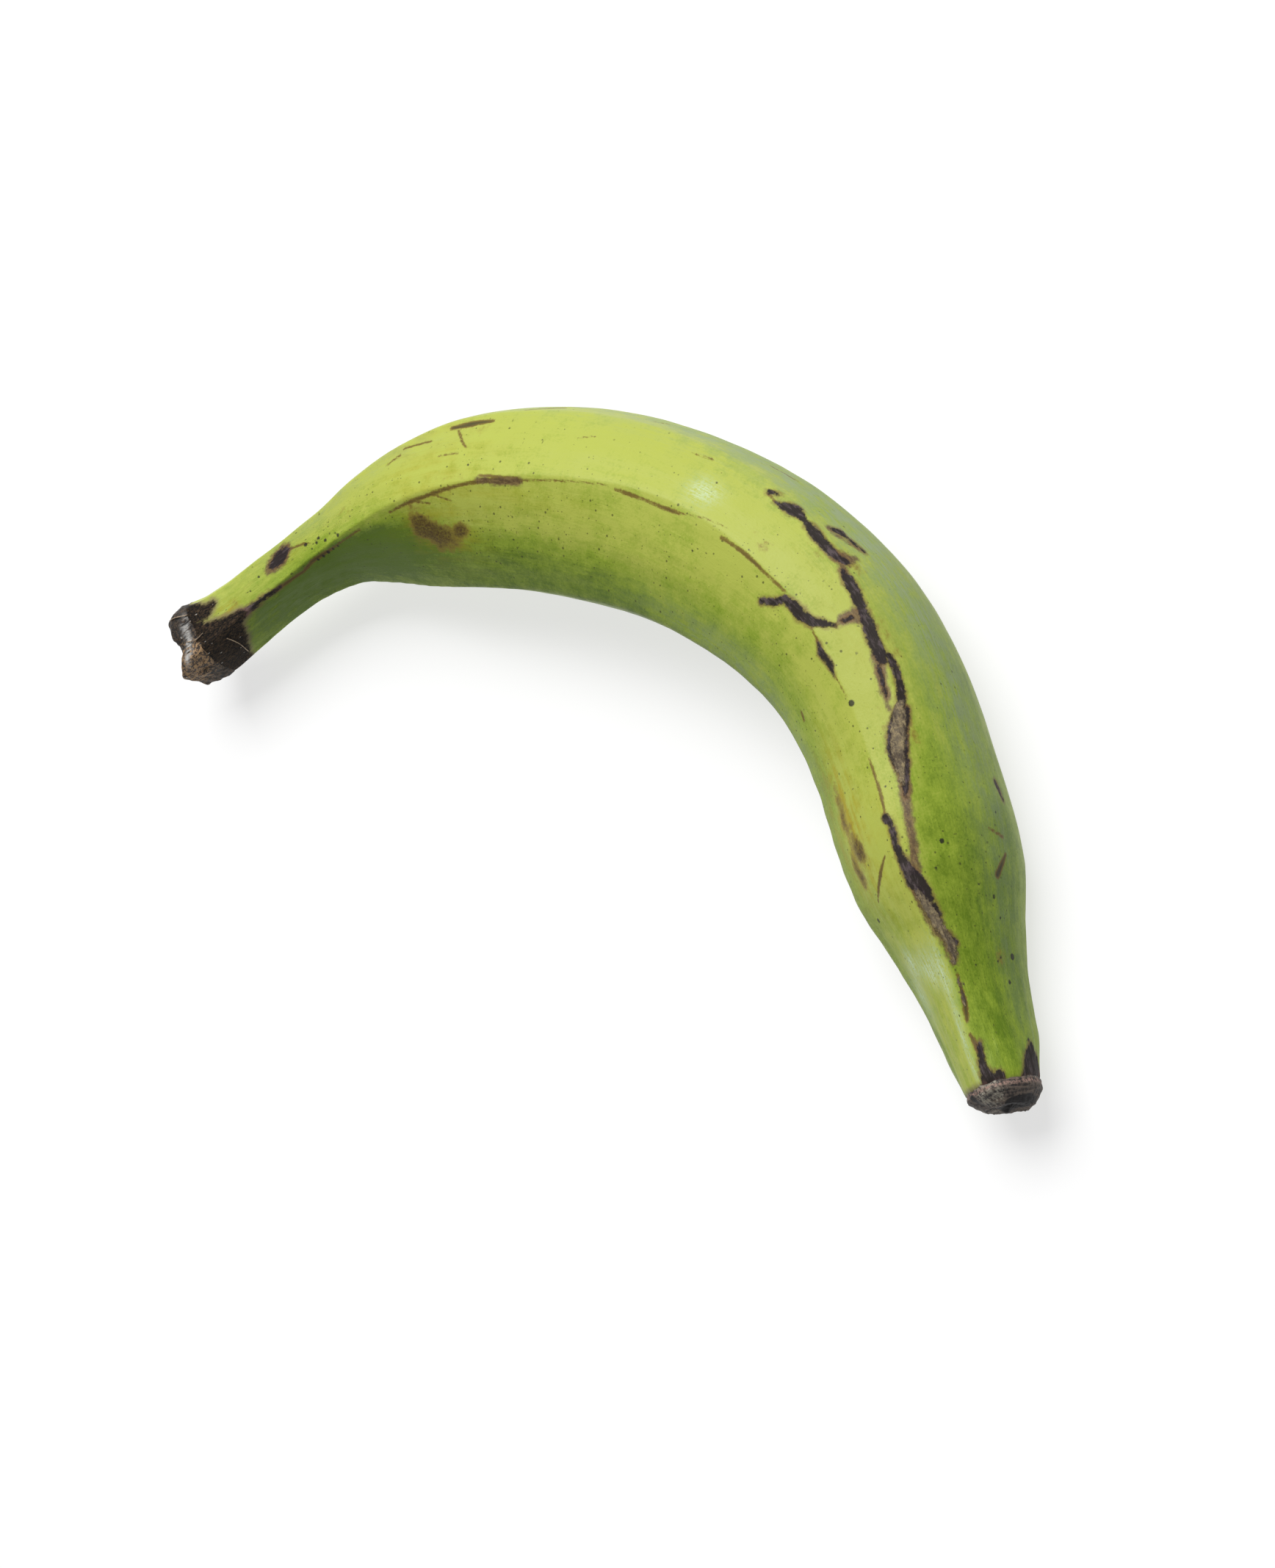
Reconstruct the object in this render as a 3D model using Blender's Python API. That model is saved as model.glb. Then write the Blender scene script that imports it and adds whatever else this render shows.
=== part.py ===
"""A green plantain lying on its side, as one solid.

Metres, +Z up. +X runs along the chord from the stem end to the blossom end,
+Y is the convex back. The fruit rests on three low points, the belly and the
two ends, each with a small flat on z = 0.
"""

from math import cos, exp, pi, radians, sin

import bmesh
import bpy
from mathutils import Vector

# Driving dimension: the length of the centreline from the torn stem end to the tip.
LENGTH = 0.307
# The tables below are drawn on a fruit 333 units long.
DRAWN_LENGTH = 333.0
UNIT = LENGTH / DRAWN_LENGTH

# Distance along the centreline, then the heading above the chord in degrees.
HEADINGS = (
    (0, 50.0), (12, 54.0), (24, 56.0), (35, 53.0), (50, 46.5), (65, 38.5),
    (80, 30.0), (95, 23.0), (110, 17.0), (140, 6.0), (170, -5.5), (185, -12.5),
    (200, -20.5), (215, -30.0), (230, -39.5), (245, -46.0), (260, -48.5),
    (290, -48.0), (320, -46.5), (333, -47.0),
)

# Distance along the centreline, then the radius out to a ridge.
RADII = (
    (0, 9.0), (4, 10.4), (9, 10.7), (15, 10.3), (22, 9.9), (35, 10.0), (50, 11.6),
    (65, 16.6), (80, 21.2), (95, 23.9), (110, 25.3), (140, 26.5), (170, 26.3),
    (200, 25.1), (230, 22.9), (250, 22.0), (262, 22.0), (275, 20.8), (290, 16.6),
    (305, 12.9), (314, 11.6), (320, 11.0), (323.2, 10.4), (324.4, 9.6),
    (326, 9.9), (328.5, 9.4), (331, 8.0), (333, 6.2),
)

# How flat the faces between the ridges are: 0 is round, 1 is nearly plane.
FLATNESS = (
    (0, 0.45), (15, 0.65), (45, 0.75), (87, 0.60), (135, 0.42), (200, 0.42),
    (248, 0.50), (290, 0.62), (318, 0.55), (327, 0.25), (333, 0.2),
)

# The five ridges: the angle of each from the convex back, in degrees, at the stations.
RIDGE_STATIONS = (0, 33, 65, 100, 135, 165, 200, 235, 265, 295, 333)
RIDGES = {
    "underside": (-20, -22, -24, -31, -38, -42, -44, -42, -38, -32, -25),
    "outer": (60, 64, 63, 48, 42, 41, 48, 63, 76, 83, 99),
    "upper": (128, 119, 106, 94, 86, 81, 85, 91, 92, 92, 106),
    "inner": (205, 197, 183, 169, 160, 155, 154, 156, 162, 170, 180),
    "hidden": (270, 264, 254, 245, 238, 234, 232, 232, 234, 240, 250),
}
CREST = 0.012  # a ridge's extra height, as a share of the radius
CREST_WIDTH = 0.09  # half width of that crest, in radians
WIDEST_FACE = 0.72  # half angle past which a face gets no flatter

# The torn stem end: angle in degrees, half width in degrees, rise as a share of the radius.
CROWN_LOBES = (
    (44, 28, 0.17), (100, 12, -0.07), (142, 20, 0.07), (205, 24, 0.06),
    (262, 18, -0.05), (318, 28, 0.09),
)
CROWN_REACH = 13.0  # units over which the lobes fade into the neck
TEAR_SLANT = 2.2  # the tear runs this far past the end on its inner side
# The tear's bumps: angle in degrees, share of the radius out from the middle, half width, height.
TEAR_BUMPS = (
    (56, 0.85, 0.45, 1.0), (112, 0.95, 0.30, -1.9), (160, 0.90, 0.40, 1.8),
    (215, 0.45, 0.30, 1.2), (250, 0.85, 0.22, -1.2), (300, 0.60, 0.30, 0.9),
    (0, 0.75, 0.24, -1.3), (30, 0.15, 0.25, -1.2),
)
# The tip cap: a shallow hollow with the flower's remains off its middle.
CAP_START = 322.8  # where the skin gives way to the woody cap
CAP_SLANT = 0.9  # the cap runs this far past the end on its outer side
CAP_LOBES = (
    (-12, 38, -0.06), (80, 24, 0.03), (125, 20, -0.04), (172, 30, -0.03),
    (245, 26, 0.03), (300, 18, -0.04),
)
CAP_BUMPS = (
    (0, 0.0, 0.55, -1.3), (200, 0.25, 0.22, 1.2), (40, 0.80, 0.25, 0.3),
    (140, 0.82, 0.20, -0.6), (285, 0.85, 0.24, 0.4),
)

# The mesh.
STATIONS = (
    0.0, 1.2, 2.6, 4.2, 6, 8, 10.5, 13, 16, 19.5, 23.5, 28, 33, 38, 43, 48, 52.5,
    56.5, 60.5, 64.5, 68.5, 73, 78, 83, 88.5, 94, 100, 106, 112, 118, 124, 130,
    136, 142, 148, 154, 160, 166, 172, 178, 184, 190, 196, 202, 208, 214, 220,
    226, 232, 238, 243.5, 249, 254, 259, 264, 269, 274, 279, 284, 289, 294, 299,
    303.5, 307.5, 311, 314, 317, 319.8, 322, 323.3, 324.4, 325.5, 327, 328.8,
    330.5, 332, 333,
)
FACE_STEPS = 13  # steps from one ridge to the next
END_RINGS = (0.86, 0.70, 0.52, 0.34, 0.17)  # rings across each end, as a share of its radius

# How the fruit lies, in radians and metres: PITCH about Y, then LEAN about X, then SHIFT.
LEAN = radians(5.3)
PITCH = radians(0.42)
SHIFT = (0.00122, 0.00548, 0.01922)


def smooth(table, x):
    """Monotone cubic through a table of (x, y) pairs."""
    if x <= table[0][0]:
        return table[0][1]
    if x >= table[-1][0]:
        return table[-1][1]
    i = max(n for n in range(len(table) - 1) if table[n][0] <= x)

    def slope(n):
        return (table[n + 1][1] - table[n][1]) / (table[n + 1][0] - table[n][0])

    def tangent(n):
        if n == 0 or n == len(table) - 1:
            return slope(min(n, len(table) - 2))
        before, after = slope(n - 1), slope(n)
        if before * after <= 0:
            return 0.0
        left = table[n][0] - table[n - 1][0]
        right = table[n + 1][0] - table[n][0]
        one, two = 2 * right + left, right + 2 * left
        return (one + two) / (one / before + two / after)

    width = table[i + 1][0] - table[i][0]
    t = (x - table[i][0]) / width
    return (
        (1 + 2 * t) * (1 - t) ** 2 * table[i][1]
        + t * (1 - t) ** 2 * width * tangent(i)
        + t * t * (3 - 2 * t) * table[i + 1][1]
        + t * t * (t - 1) * width * tangent(i + 1)
    )


def centreline():
    """The point and the heading at each station, with the chord along X and the middle at zero."""
    steps = 1332
    length = DRAWN_LENGTH / steps
    points = [Vector((0.0, 0.0, 0.0))]
    for n in range(steps):
        heading = radians(smooth(HEADINGS, (n + 0.5) * length))
        points.append(points[-1] + length * Vector((cos(heading), sin(heading), 0.0)))
    middle = sum(points, Vector((0.0, 0.0, 0.0))) / len(points)
    return [
        (
            points[round(station / length)] - middle,
            radians(smooth(HEADINGS, station)),
        )
        for station in STATIONS
    ]


def turned(angle, other):
    """The angle from one direction to another, between -pi and pi."""
    return (angle - other + pi) % (2 * pi) - pi


def lobes(table, angle):
    return sum(
        height * exp(-((turned(angle, radians(at)) / radians(width)) ** 2))
        for at, width, height in table
    )


def bumps(table, angle, share):
    """Height of an end's surface at a polar point, from its table of bumps."""
    here = Vector((share * cos(angle), share * sin(angle)))
    total = 0.0
    for at, out, width, height in table:
        there = Vector((out * cos(radians(at)), out * sin(radians(at))))
        total += height * exp(-((here - there).length / width) ** 2)
    return total


def section(station):
    """The angle and the radius of each point round the fruit at a station."""
    ridges = [
        radians(smooth(tuple(zip(RIDGE_STATIONS, angles)), station))
        for angles in RIDGES.values()
    ]
    ridges.append(ridges[0] + 2 * pi)
    flatness = smooth(FLATNESS, station)
    radius = smooth(RADII, station)
    crown = max(0.0, 1.0 - station / CROWN_REACH)
    crown = crown * crown * (3 - 2 * crown)
    cap = min(1.0, max(0.0, (station - CAP_START + 1.0) / 3.0))
    points = []
    for first, second in zip(ridges, ridges[1:]):
        half = (second - first) / 2
        depth = flatness * (1 - cos(min(half, WIDEST_FACE)))
        for step in range(FACE_STEPS):
            across = -1 + 2 * step / FACE_STEPS
            angle = first + (across + 1) * half
            crest = exp(-(((across + 1) * half / CREST_WIDTH) ** 2))
            crest += exp(-(((1 - across) * half / CREST_WIDTH) ** 2))
            share = 1 - depth * (1 - across * across) + CREST * crest * (1 - cap)
            share += crown * lobes(CROWN_LOBES, angle) + cap * lobes(CAP_LOBES, angle)
            points.append((angle, radius * share))
    return points


def outward(heading, angle):
    """The direction at an angle round the centreline: 0 is the convex back, 90 is up."""
    return Vector((-sin(heading) * cos(angle), cos(heading) * cos(angle), sin(angle)))


def ring_points():
    """Every ring of the fruit from the stem's middle to the tip's middle, in drawn units."""
    line = centreline()
    rings = []
    for station, (middle, heading) in zip(STATIONS, line):
        along = Vector((cos(heading), sin(heading), 0.0))
        crown = max(0.0, 1.0 - station / CROWN_REACH)
        ring = []
        for angle, radius in section(station):
            slant = crown * (TEAR_SLANT * cos(angle) - bumps(TEAR_BUMPS, angle, 1.0) * crown)
            if station > CAP_START:
                rim = bumps(CAP_BUMPS, angle, 1.0) + CAP_SLANT * cos(angle)
                slant += rim * (station - CAP_START) / (DRAWN_LENGTH - CAP_START)
            ring.append(middle + outward(heading, angle) * radius + along * slant)
        rings.append(ring)

    def across(station, middle, heading, side, table, slope):
        along = Vector((cos(heading), sin(heading), 0.0))
        made = []
        for share in END_RINGS:
            ring = []
            for angle, radius in section(station):
                dome = 0.9 * (1 - share * share)
                rise = bumps(table, angle, share) + dome
                ring.append(
                    middle
                    + outward(heading, angle) * radius * share
                    + along * (side * rise + slope * share * cos(angle))
                )
            made.append(ring)
        return made

    stem = across(STATIONS[0], line[0][0], line[0][1], -1, TEAR_BUMPS, TEAR_SLANT)
    tip = across(STATIONS[-1], line[-1][0], line[-1][1], 1, CAP_BUMPS, CAP_SLANT)
    return list(reversed(stem)) + rings + tip


def make_material(name, colour, roughness):
    material = bpy.data.materials.new(name)
    material.use_nodes = True
    shader = material.node_tree.nodes["Principled BSDF"]
    shader.inputs["Base Color"].default_value = (*colour, 1.0)
    shader.inputs["Roughness"].default_value = roughness
    shader.inputs["Metallic"].default_value = 0.0
    return material


def add_object(name, mesh, collection):
    data = bpy.data.meshes.new(name)
    mesh.to_mesh(data)
    mesh.free()
    made = bpy.data.objects.new(name, data)
    collection.objects.link(made)
    return made


def make_plantain(collection):
    """The fruit as one closed body: a loft through its rings, and a fan at each end."""
    mesh = bmesh.new()
    rings = [[mesh.verts.new(point * UNIT) for point in ring] for ring in ring_points()]
    stem_rings = len(END_RINGS) + sum(station < CROWN_REACH - 3.0 for station in STATIONS)
    tip_rings = len(END_RINGS) + sum(station > CAP_START for station in STATIONS)
    for n, (first, second) in enumerate(zip(rings, rings[1:])):
        part = 1 if n < stem_rings else 2 if n > len(rings) - tip_rings - 1 else 0
        for i in range(len(first)):
            j = (i + 1) % len(first)
            face = mesh.faces.new((first[i], second[i], second[j], first[j]))
            face.material_index = part
    for ring, part in ((rings[0], 1), (rings[-1], 2)):
        middle = sum((vert.co for vert in ring), Vector((0.0, 0.0, 0.0))) / len(ring)
        centre = mesh.verts.new(middle)
        for i in range(len(ring)):
            face = mesh.faces.new((ring[i], ring[(i + 1) % len(ring)], centre))
            face.material_index = part
    bmesh.ops.recalc_face_normals(mesh, faces=mesh.faces)
    fruit = add_object("plantain", mesh, collection)
    fruit.data.materials.append(make_material("green peel", (0.45, 0.55, 0.10), 0.45))
    fruit.data.materials.append(make_material("torn stem", (0.06, 0.045, 0.035), 0.85))
    fruit.data.materials.append(make_material("dry tip cap", (0.26, 0.19, 0.16), 0.80))
    fruit.data.shade_smooth()
    fruit.rotation_mode = "YXZ"
    fruit.rotation_euler = (LEAN, PITCH, 0.0)
    fruit.location = SHIFT
    return fruit


def cut_flats(fruit, collection):
    """Takes off what is below z = 0, which leaves a small flat at each low point."""
    mesh = bmesh.new()
    bmesh.ops.create_cube(mesh, size=1.0)
    bmesh.ops.scale(mesh, vec=(0.6, 0.6, 0.02), verts=mesh.verts)
    slab = add_object("floor slab", mesh, collection)
    slab.location = (0.0, 0.0, -0.01)
    slab.hide_render = True
    slab.display_type = "WIRE"
    cut = fruit.modifiers.new("flats at the low points", "BOOLEAN")
    cut.operation = "DIFFERENCE"
    cut.solver = "EXACT"
    cut.object = slab


def main():
    for old in list(bpy.data.objects):
        bpy.data.objects.remove(old, do_unlink=True)
    parts = bpy.data.collections.new("plantain")
    cutters = bpy.data.collections.new("cutters")
    bpy.context.scene.collection.children.link(parts)
    bpy.context.scene.collection.children.link(cutters)
    cut_flats(make_plantain(parts), cutters)


if __name__ == "__main__":
    main()
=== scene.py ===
"""The looks of a green plantain that lies on its side in a pale studio.

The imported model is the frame. Each piece of the fruit is shaped on the same form as
its solid, only finer, and carries its marks as attributes that its finish reads.
Lengths are in metres unless a name says millimetres.
"""

import logging
from dataclasses import dataclass, field
from enum import Enum
from functools import cached_property, reduce
from math import cos, pi, radians, sin

import bmesh
import bpy
import numpy as np
from bpy.types import Material, Node, NodeOutputs, NodeSocket, NodeTree, Object
from mathutils import Matrix, Vector, noise


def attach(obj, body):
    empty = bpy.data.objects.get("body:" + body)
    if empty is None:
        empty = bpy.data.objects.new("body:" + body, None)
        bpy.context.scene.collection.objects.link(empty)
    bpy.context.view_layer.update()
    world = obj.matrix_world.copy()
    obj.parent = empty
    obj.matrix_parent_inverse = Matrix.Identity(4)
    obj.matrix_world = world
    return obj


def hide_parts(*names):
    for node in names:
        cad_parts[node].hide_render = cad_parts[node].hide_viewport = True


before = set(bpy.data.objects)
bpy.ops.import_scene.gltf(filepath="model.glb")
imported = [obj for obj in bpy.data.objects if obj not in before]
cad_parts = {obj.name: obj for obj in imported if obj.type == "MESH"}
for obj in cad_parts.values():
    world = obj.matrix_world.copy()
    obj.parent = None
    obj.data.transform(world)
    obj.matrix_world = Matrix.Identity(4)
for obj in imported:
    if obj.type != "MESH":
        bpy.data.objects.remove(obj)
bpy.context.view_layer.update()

BODY = "root"
NODE = "plantain"
MM = 0.001

Array = np.ndarray
Table = tuple[tuple[float, ...], ...]

log = logging.getLogger("plantain")


class Slot(Enum):
    """The record's material slots."""

    SKIN = "skin"
    TORN_STEM = "torn_stem"
    TIP_CAP = "tip_cap"


class End(Enum):
    """The two ends of the fruit: which way each faces along the middle line."""

    STEM = -1
    TIP = 1


class Mark(Enum):
    """What the pieces' attributes are called."""

    UNBENT = "unbent"
    SCAR = "scar"
    THREAD = "thread"
    SCAB = "scab"
    STAIN = "stain"
    RUST = "rust"
    # Pale waxy patches, partly real wax and partly a painted highlight.
    BLOOM = "bloom_and_highlight"
    # Grey-green dusting, partly real and partly a painted sheen near the outline.
    DUST = "dust_and_sheen"
    DRY = "dry"
    # Deeper green: partly the peel's own colour, partly painted shade.
    DEEP = "deep_green_and_shade"
    SPECK = "speck"
    DOT = "dot"
    BAND = "band"
    TAN = "tan"
    SILVER = "silver"
    GLOSS = "gloss"
    FLAKE = "flake"
    HOLLOW = "hollow"
    RIM = "rim"


def monotone(table: Table, x: Array) -> Array:
    """Runs a monotone cubic through a table of pairs.

    Args:
        table: Pairs of a place and its value, in order.
        x: The places to read.

    Returns:
        The value at each place.
    """
    knots, values = np.array(table, float).T
    widths = np.diff(knots)
    slopes = np.diff(values) / widths
    before, after = slopes[:-1], slopes[1:]
    one = 2 * widths[1:] + widths[:-1]
    two = widths[1:] + 2 * widths[:-1]
    rising = before * after > 0
    spread = one / np.where(rising, before, 1.0) + two / np.where(rising, after, 1.0)
    inner = np.where(rising, (one + two) / spread, 0.0)
    tangents = np.concatenate([slopes[:1], inner, slopes[-1:]])
    x = np.clip(x, knots[0], knots[-1])
    i = np.clip(np.searchsorted(knots, x, side="right") - 1, 0, len(widths) - 1)
    t = (x - knots[i]) / widths[i]
    return (
        (1 + 2 * t) * (1 - t) ** 2 * values[i]
        + t * (1 - t) ** 2 * widths[i] * tangents[i]
        + t * t * (3 - 2 * t) * values[i + 1]
        + t * t * (t - 1) * widths[i] * tangents[i + 1]
    )


def turned(angle: Array, other: float | Array) -> Array:
    """The angle from one direction to another, between -pi and pi."""
    return (angle - other + pi) % (2 * pi) - pi


def smoothstep(x: Array) -> Array:
    """Rises smoothly from 0 to 1 as x does."""
    x = np.clip(x, 0.0, 1.0)
    return x * x * (3 - 2 * x)


def hill(distance: Array, width: float) -> Array:
    """A soft hill: 1 at no distance, falling away over its width."""
    return np.exp(-((distance / width) ** 2))


def as_object(name: str, mesh: bmesh.types.BMesh) -> Object:
    """Turns a finished mesh into a smooth object in the scene.

    Args:
        name: The object's name.
        mesh: Its mesh, which is freed.

    Returns:
        The object.
    """
    data = bpy.data.meshes.new(name)
    mesh.to_mesh(data)
    mesh.free()
    data.shade_smooth()
    made = bpy.data.objects.new(name, data)
    bpy.context.scene.collection.objects.link(made)
    return made


@dataclass(frozen=True)
class FruitForm:
    """The outer shape of the fruit, in units of which 333 make its middle line."""

    length: float = 0.307
    drawn_length: float = 333.0
    line_steps: int = 1332
    headings: Table = (
        (0, 50.0), (12, 54.0), (24, 56.0), (35, 53.0), (50, 46.5), (65, 38.5),
        (80, 30.0), (95, 23.0), (110, 17.0), (140, 6.0), (170, -5.5), (185, -12.5),
        (200, -20.5), (215, -30.0), (230, -39.5), (245, -46.0), (260, -48.5),
        (290, -48.0), (320, -46.5), (333, -47.0),
    )
    radii: Table = (
        (0, 9.0), (4, 10.4), (9, 10.7), (15, 10.3), (22, 9.9), (35, 10.0), (50, 11.6),
        (65, 16.6), (80, 21.2), (95, 23.9), (110, 25.3), (140, 26.5), (170, 26.3),
        (200, 25.1), (230, 22.9), (250, 22.0), (262, 22.0), (275, 20.8), (290, 16.6),
        (305, 12.9), (314, 11.6), (320, 11.0), (324, 10.5), (327, 10.1), (328.4, 9.7),
        (329.4, 9.8), (331, 8.6), (333, 6.4),
    )
    flatness: Table = (
        (0, 0.45), (15, 0.65), (45, 0.75), (87, 0.60), (135, 0.42), (200, 0.42),
        (248, 0.50), (290, 0.62), (318, 0.55), (327, 0.25), (333, 0.2),
    )
    ridge_stations: tuple[float, ...] = (0, 33, 65, 100, 135, 165, 200, 235, 265, 295, 333)
    ridges: Table = (
        (-20, -22, -24, -31, -38, -42, -44, -42, -38, -32, -25),
        (60, 64, 63, 48, 42, 41, 48, 63, 76, 83, 99),
        (128, 119, 106, 94, 86, 81, 85, 91, 92, 92, 106),
        (205, 197, 183, 169, 160, 155, 154, 156, 162, 170, 180),
        (270, 264, 254, 245, 238, 234, 232, 232, 234, 240, 250),
    )
    crest: float = 0.009
    crest_width: float = 0.12
    crest_fade: Table = ((0, 1.0), (180, 1.0), (205, 0.1), (240, 0.1), (262, 1.0), (333, 1.0))
    widest_face: float = 0.72
    crown_lobes: Table = (
        (44, 28, 0.17), (100, 12, -0.07), (142, 20, 0.07), (205, 24, 0.06),
        (262, 18, -0.05), (318, 28, 0.09),
    )
    crown_reach: float = 13.0
    tear_slant: float = 2.2
    tear_bumps: Table = (
        (56, 0.85, 0.45, 1.0), (112, 0.95, 0.30, -1.9), (160, 0.90, 0.40, 1.8),
        (215, 0.45, 0.30, 1.2), (250, 0.85, 0.22, -1.2), (300, 0.60, 0.30, 0.9),
        (0, 0.75, 0.24, -1.3), (30, 0.15, 0.25, -1.2),
    )
    cap_start: float = 322.8
    cap_slant: float = 0.9
    cap_lobes: Table = (
        (-8, 36, -0.10), (80, 24, 0.03), (125, 20, -0.04), (172, 30, -0.03),
        (245, 26, 0.03), (318, 26, -0.10),
    )
    cap_lobe_start: float = 317.0
    cap_lobe_rise: float = 11.0
    cap_bumps: Table = (
        (0, 0.0, 0.55, -1.3), (200, 0.25, 0.22, 1.2), (40, 0.80, 0.25, 0.3),
        (140, 0.82, 0.20, -0.6), (285, 0.85, 0.24, 0.4),
    )
    end_dome: float = 0.9
    lean: float = radians(5.3)
    pitch: float = radians(0.42)
    shift: tuple[float, float, float] = (0.00122, 0.00548, 0.01922)

    @property
    def unit(self) -> float:
        """One drawn unit in metres."""
        return self.length / self.drawn_length

    def lobes(self, table: Table, angle: Array) -> Array:
        """Adds up the lobes of a table round the fruit."""
        return sum(height * hill(turned(angle, radians(at)), radians(width)) for at, width, height in table)

    def bumps(self, table: Table, angle: Array, share: Array | float) -> Array:
        """Adds up the bumps of a table at polar points of an end.

        Args:
            table: Rows of angle, share of the radius, half width and height.
            angle: The points' angles.
            share: The points' distances from the middle, as a share of the radius.

        Returns:
            The height at each point.
        """
        total = np.zeros_like(angle)
        for at, out, width, height in table:
            across = share * np.cos(angle) - out * cos(radians(at))
            up = share * np.sin(angle) - out * sin(radians(at))
            total += height * hill(np.hypot(across, up), width)
        return total

    def radius(self, station: Array, angle: Array) -> Array:
        """The radius of the outer surface, in units.

        Args:
            station: Distances along the middle line.
            angle: Angles round it, where 0 is the convex back and a quarter turn is up.

        Returns:
            The radius at each place.
        """
        tables = [tuple(zip(self.ridge_stations, row)) for row in self.ridges]
        ridges = np.radians([monotone(table, station) for table in tables])
        ridges = np.vstack([ridges, ridges[:1] + 2 * pi])
        angle = (angle - ridges[0]) % (2 * pi) + ridges[0]
        face = np.clip((angle >= ridges).sum(0) - 1, 0, len(self.ridges) - 1)
        first = np.take_along_axis(ridges, face[None], 0)[0]
        second = np.take_along_axis(ridges, face[None] + 1, 0)[0]
        half = (second - first) / 2
        across = (angle - first) / half - 1
        depth = monotone(self.flatness, station) * (1 - np.cos(np.minimum(half, self.widest_face)))
        crest = hill((across + 1) * half, self.crest_width) + hill((1 - across) * half, self.crest_width)
        crest *= self.crest * monotone(self.crest_fade, station)
        crown = smoothstep(1 - station / self.crown_reach)
        cap = smoothstep((station - self.cap_lobe_start) / self.cap_lobe_rise)
        share = 1 - depth * (1 - across**2) + crest * (1 - cap)
        share += crown * self.lobes(self.crown_lobes, angle) + cap * self.lobes(self.cap_lobes, angle)
        return monotone(self.radii, station) * share

    def line(self, station: Array) -> tuple[Array, Array]:
        """The middle line.

        Args:
            station: Distances along it.

        Returns:
            The point at each distance, and the heading there in radians.
        """
        step = self.drawn_length / self.line_steps
        heading = np.radians(monotone(self.headings, (np.arange(self.line_steps) + 0.5) * step))
        path = np.zeros((self.line_steps + 1, 2))
        path[1:] = np.cumsum(np.stack([np.cos(heading), np.sin(heading)], 1) * step, 0)
        path -= path.mean(0)
        at = np.arange(self.line_steps + 1) * step
        points = np.zeros((len(station), 3))
        points[:, 0] = np.interp(station, at, path[:, 0])
        points[:, 1] = np.interp(station, at, path[:, 1])
        return points, np.radians(monotone(self.headings, station))

    def side(self, station: Array, angle: Array, lift_mm: Array | float = 0.0) -> Array:
        """Places on the fruit's outer side.

        Args:
            station: Distances along the middle line.
            angle: Angles round it in radians.
            lift_mm: How far each place stands off the form.

        Returns:
            The places in metres, as rows of three.
        """
        radius = self.radius(station, angle) + lift_mm * MM / self.unit
        torn = np.clip(1 - station / self.crown_reach, 0, 1)
        slant = torn * (self.tear_slant * np.cos(angle) - self.bumps(self.tear_bumps, angle, 1.0) * torn)
        capped = np.clip((station - self.cap_start) / (self.drawn_length - self.cap_start), 0, 1)
        slant += capped * (self.bumps(self.cap_bumps, angle, 1.0) + self.cap_slant * np.cos(angle))
        return self._laid(station, angle, radius, slant)

    def face(self, end: End, share: Array, angle: Array, lift_mm: Array) -> Array:
        """Places on the face of an end.

        Args:
            end: Which end.
            share: Distances from the face's middle, as a share of its radius.
            angle: Angles round it in radians.
            lift_mm: How far each place stands off the form.

        Returns:
            The places in metres, as rows of three.
        """
        stem = end is End.STEM
        table = self.tear_bumps if stem else self.cap_bumps
        slope = self.tear_slant if stem else self.cap_slant
        station = np.full(len(angle), 0.0 if stem else self.drawn_length)
        rise = self.bumps(table, angle, share) + self.end_dome * (1 - share**2) + lift_mm * MM / self.unit
        slant = end.value * rise + slope * share * np.cos(angle)
        return self._laid(station, angle, self.radius(station, angle) * share, slant)

    def _laid(self, station: Array, angle: Array, radius: Array, slant: Array) -> Array:
        """Lays places of the form on the table, none of them below it.

        Args:
            station: Distances along the middle line.
            angle: Angles round it in radians.
            radius: How far out each place is, in units.
            slant: How far it is moved along the fruit, in units.

        Returns:
            The places in metres, as rows of three.
        """
        middle, heading = self.line(station)
        along = np.stack([np.cos(heading), np.sin(heading), 0 * heading], 1)
        back = np.cos(angle)
        outward = np.stack([-np.sin(heading) * back, np.cos(heading) * back, np.sin(angle)], 1)
        points = middle + outward * radius[:, None] + along * slant[:, None]
        turn = Matrix.Rotation(self.lean, 3, "X") @ Matrix.Rotation(self.pitch, 3, "Y")
        placed = points * self.unit @ np.array(turn).T + np.array(self.shift)
        placed[:, 2] = np.maximum(placed[:, 2], 0.0)
        return placed


@dataclass
class Places:
    """Places on the fruit: distances along its middle line and angles round it in radians."""

    form: FruitForm
    station: Array
    angle: Array

    @property
    def unit_mm(self) -> float:
        """One drawn unit in millimetres."""
        return self.form.unit / MM

    @cached_property
    def radius_mm(self) -> Array:
        """The plain radius of the fruit at each place."""
        return monotone(self.form.radii, self.station) * self.unit_mm

    def unbent(self, radius_mm: float) -> Array:
        """Where each place would be on a straight fruit, in millimetres, its length on the third axis."""
        across, up = radius_mm * np.cos(self.angle), radius_mm * np.sin(self.angle)
        return np.stack([across, up, self.station * self.unit_mm], 1)


@dataclass(frozen=True)
class Relief:
    """Uneven relief: its height and the distance between its bumps, in millimetres."""

    height: float
    size: float
    seed: float = 0.0
    stretch: tuple[float, float, float] = (1.0, 1.0, 1.0)

    def at(self, straight: Array) -> Array:
        """The relief's height at places of the straight fruit.

        Args:
            straight: The places, as rows of three.

        Returns:
            The height at each, in millimetres.
        """
        moved = straight * self.stretch
        offset = Vector((self.seed, self.seed * 1.7, self.seed * 2.3))
        return self.height * np.array([noise.noise(Vector(place) / self.size + offset) for place in moved])


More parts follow.
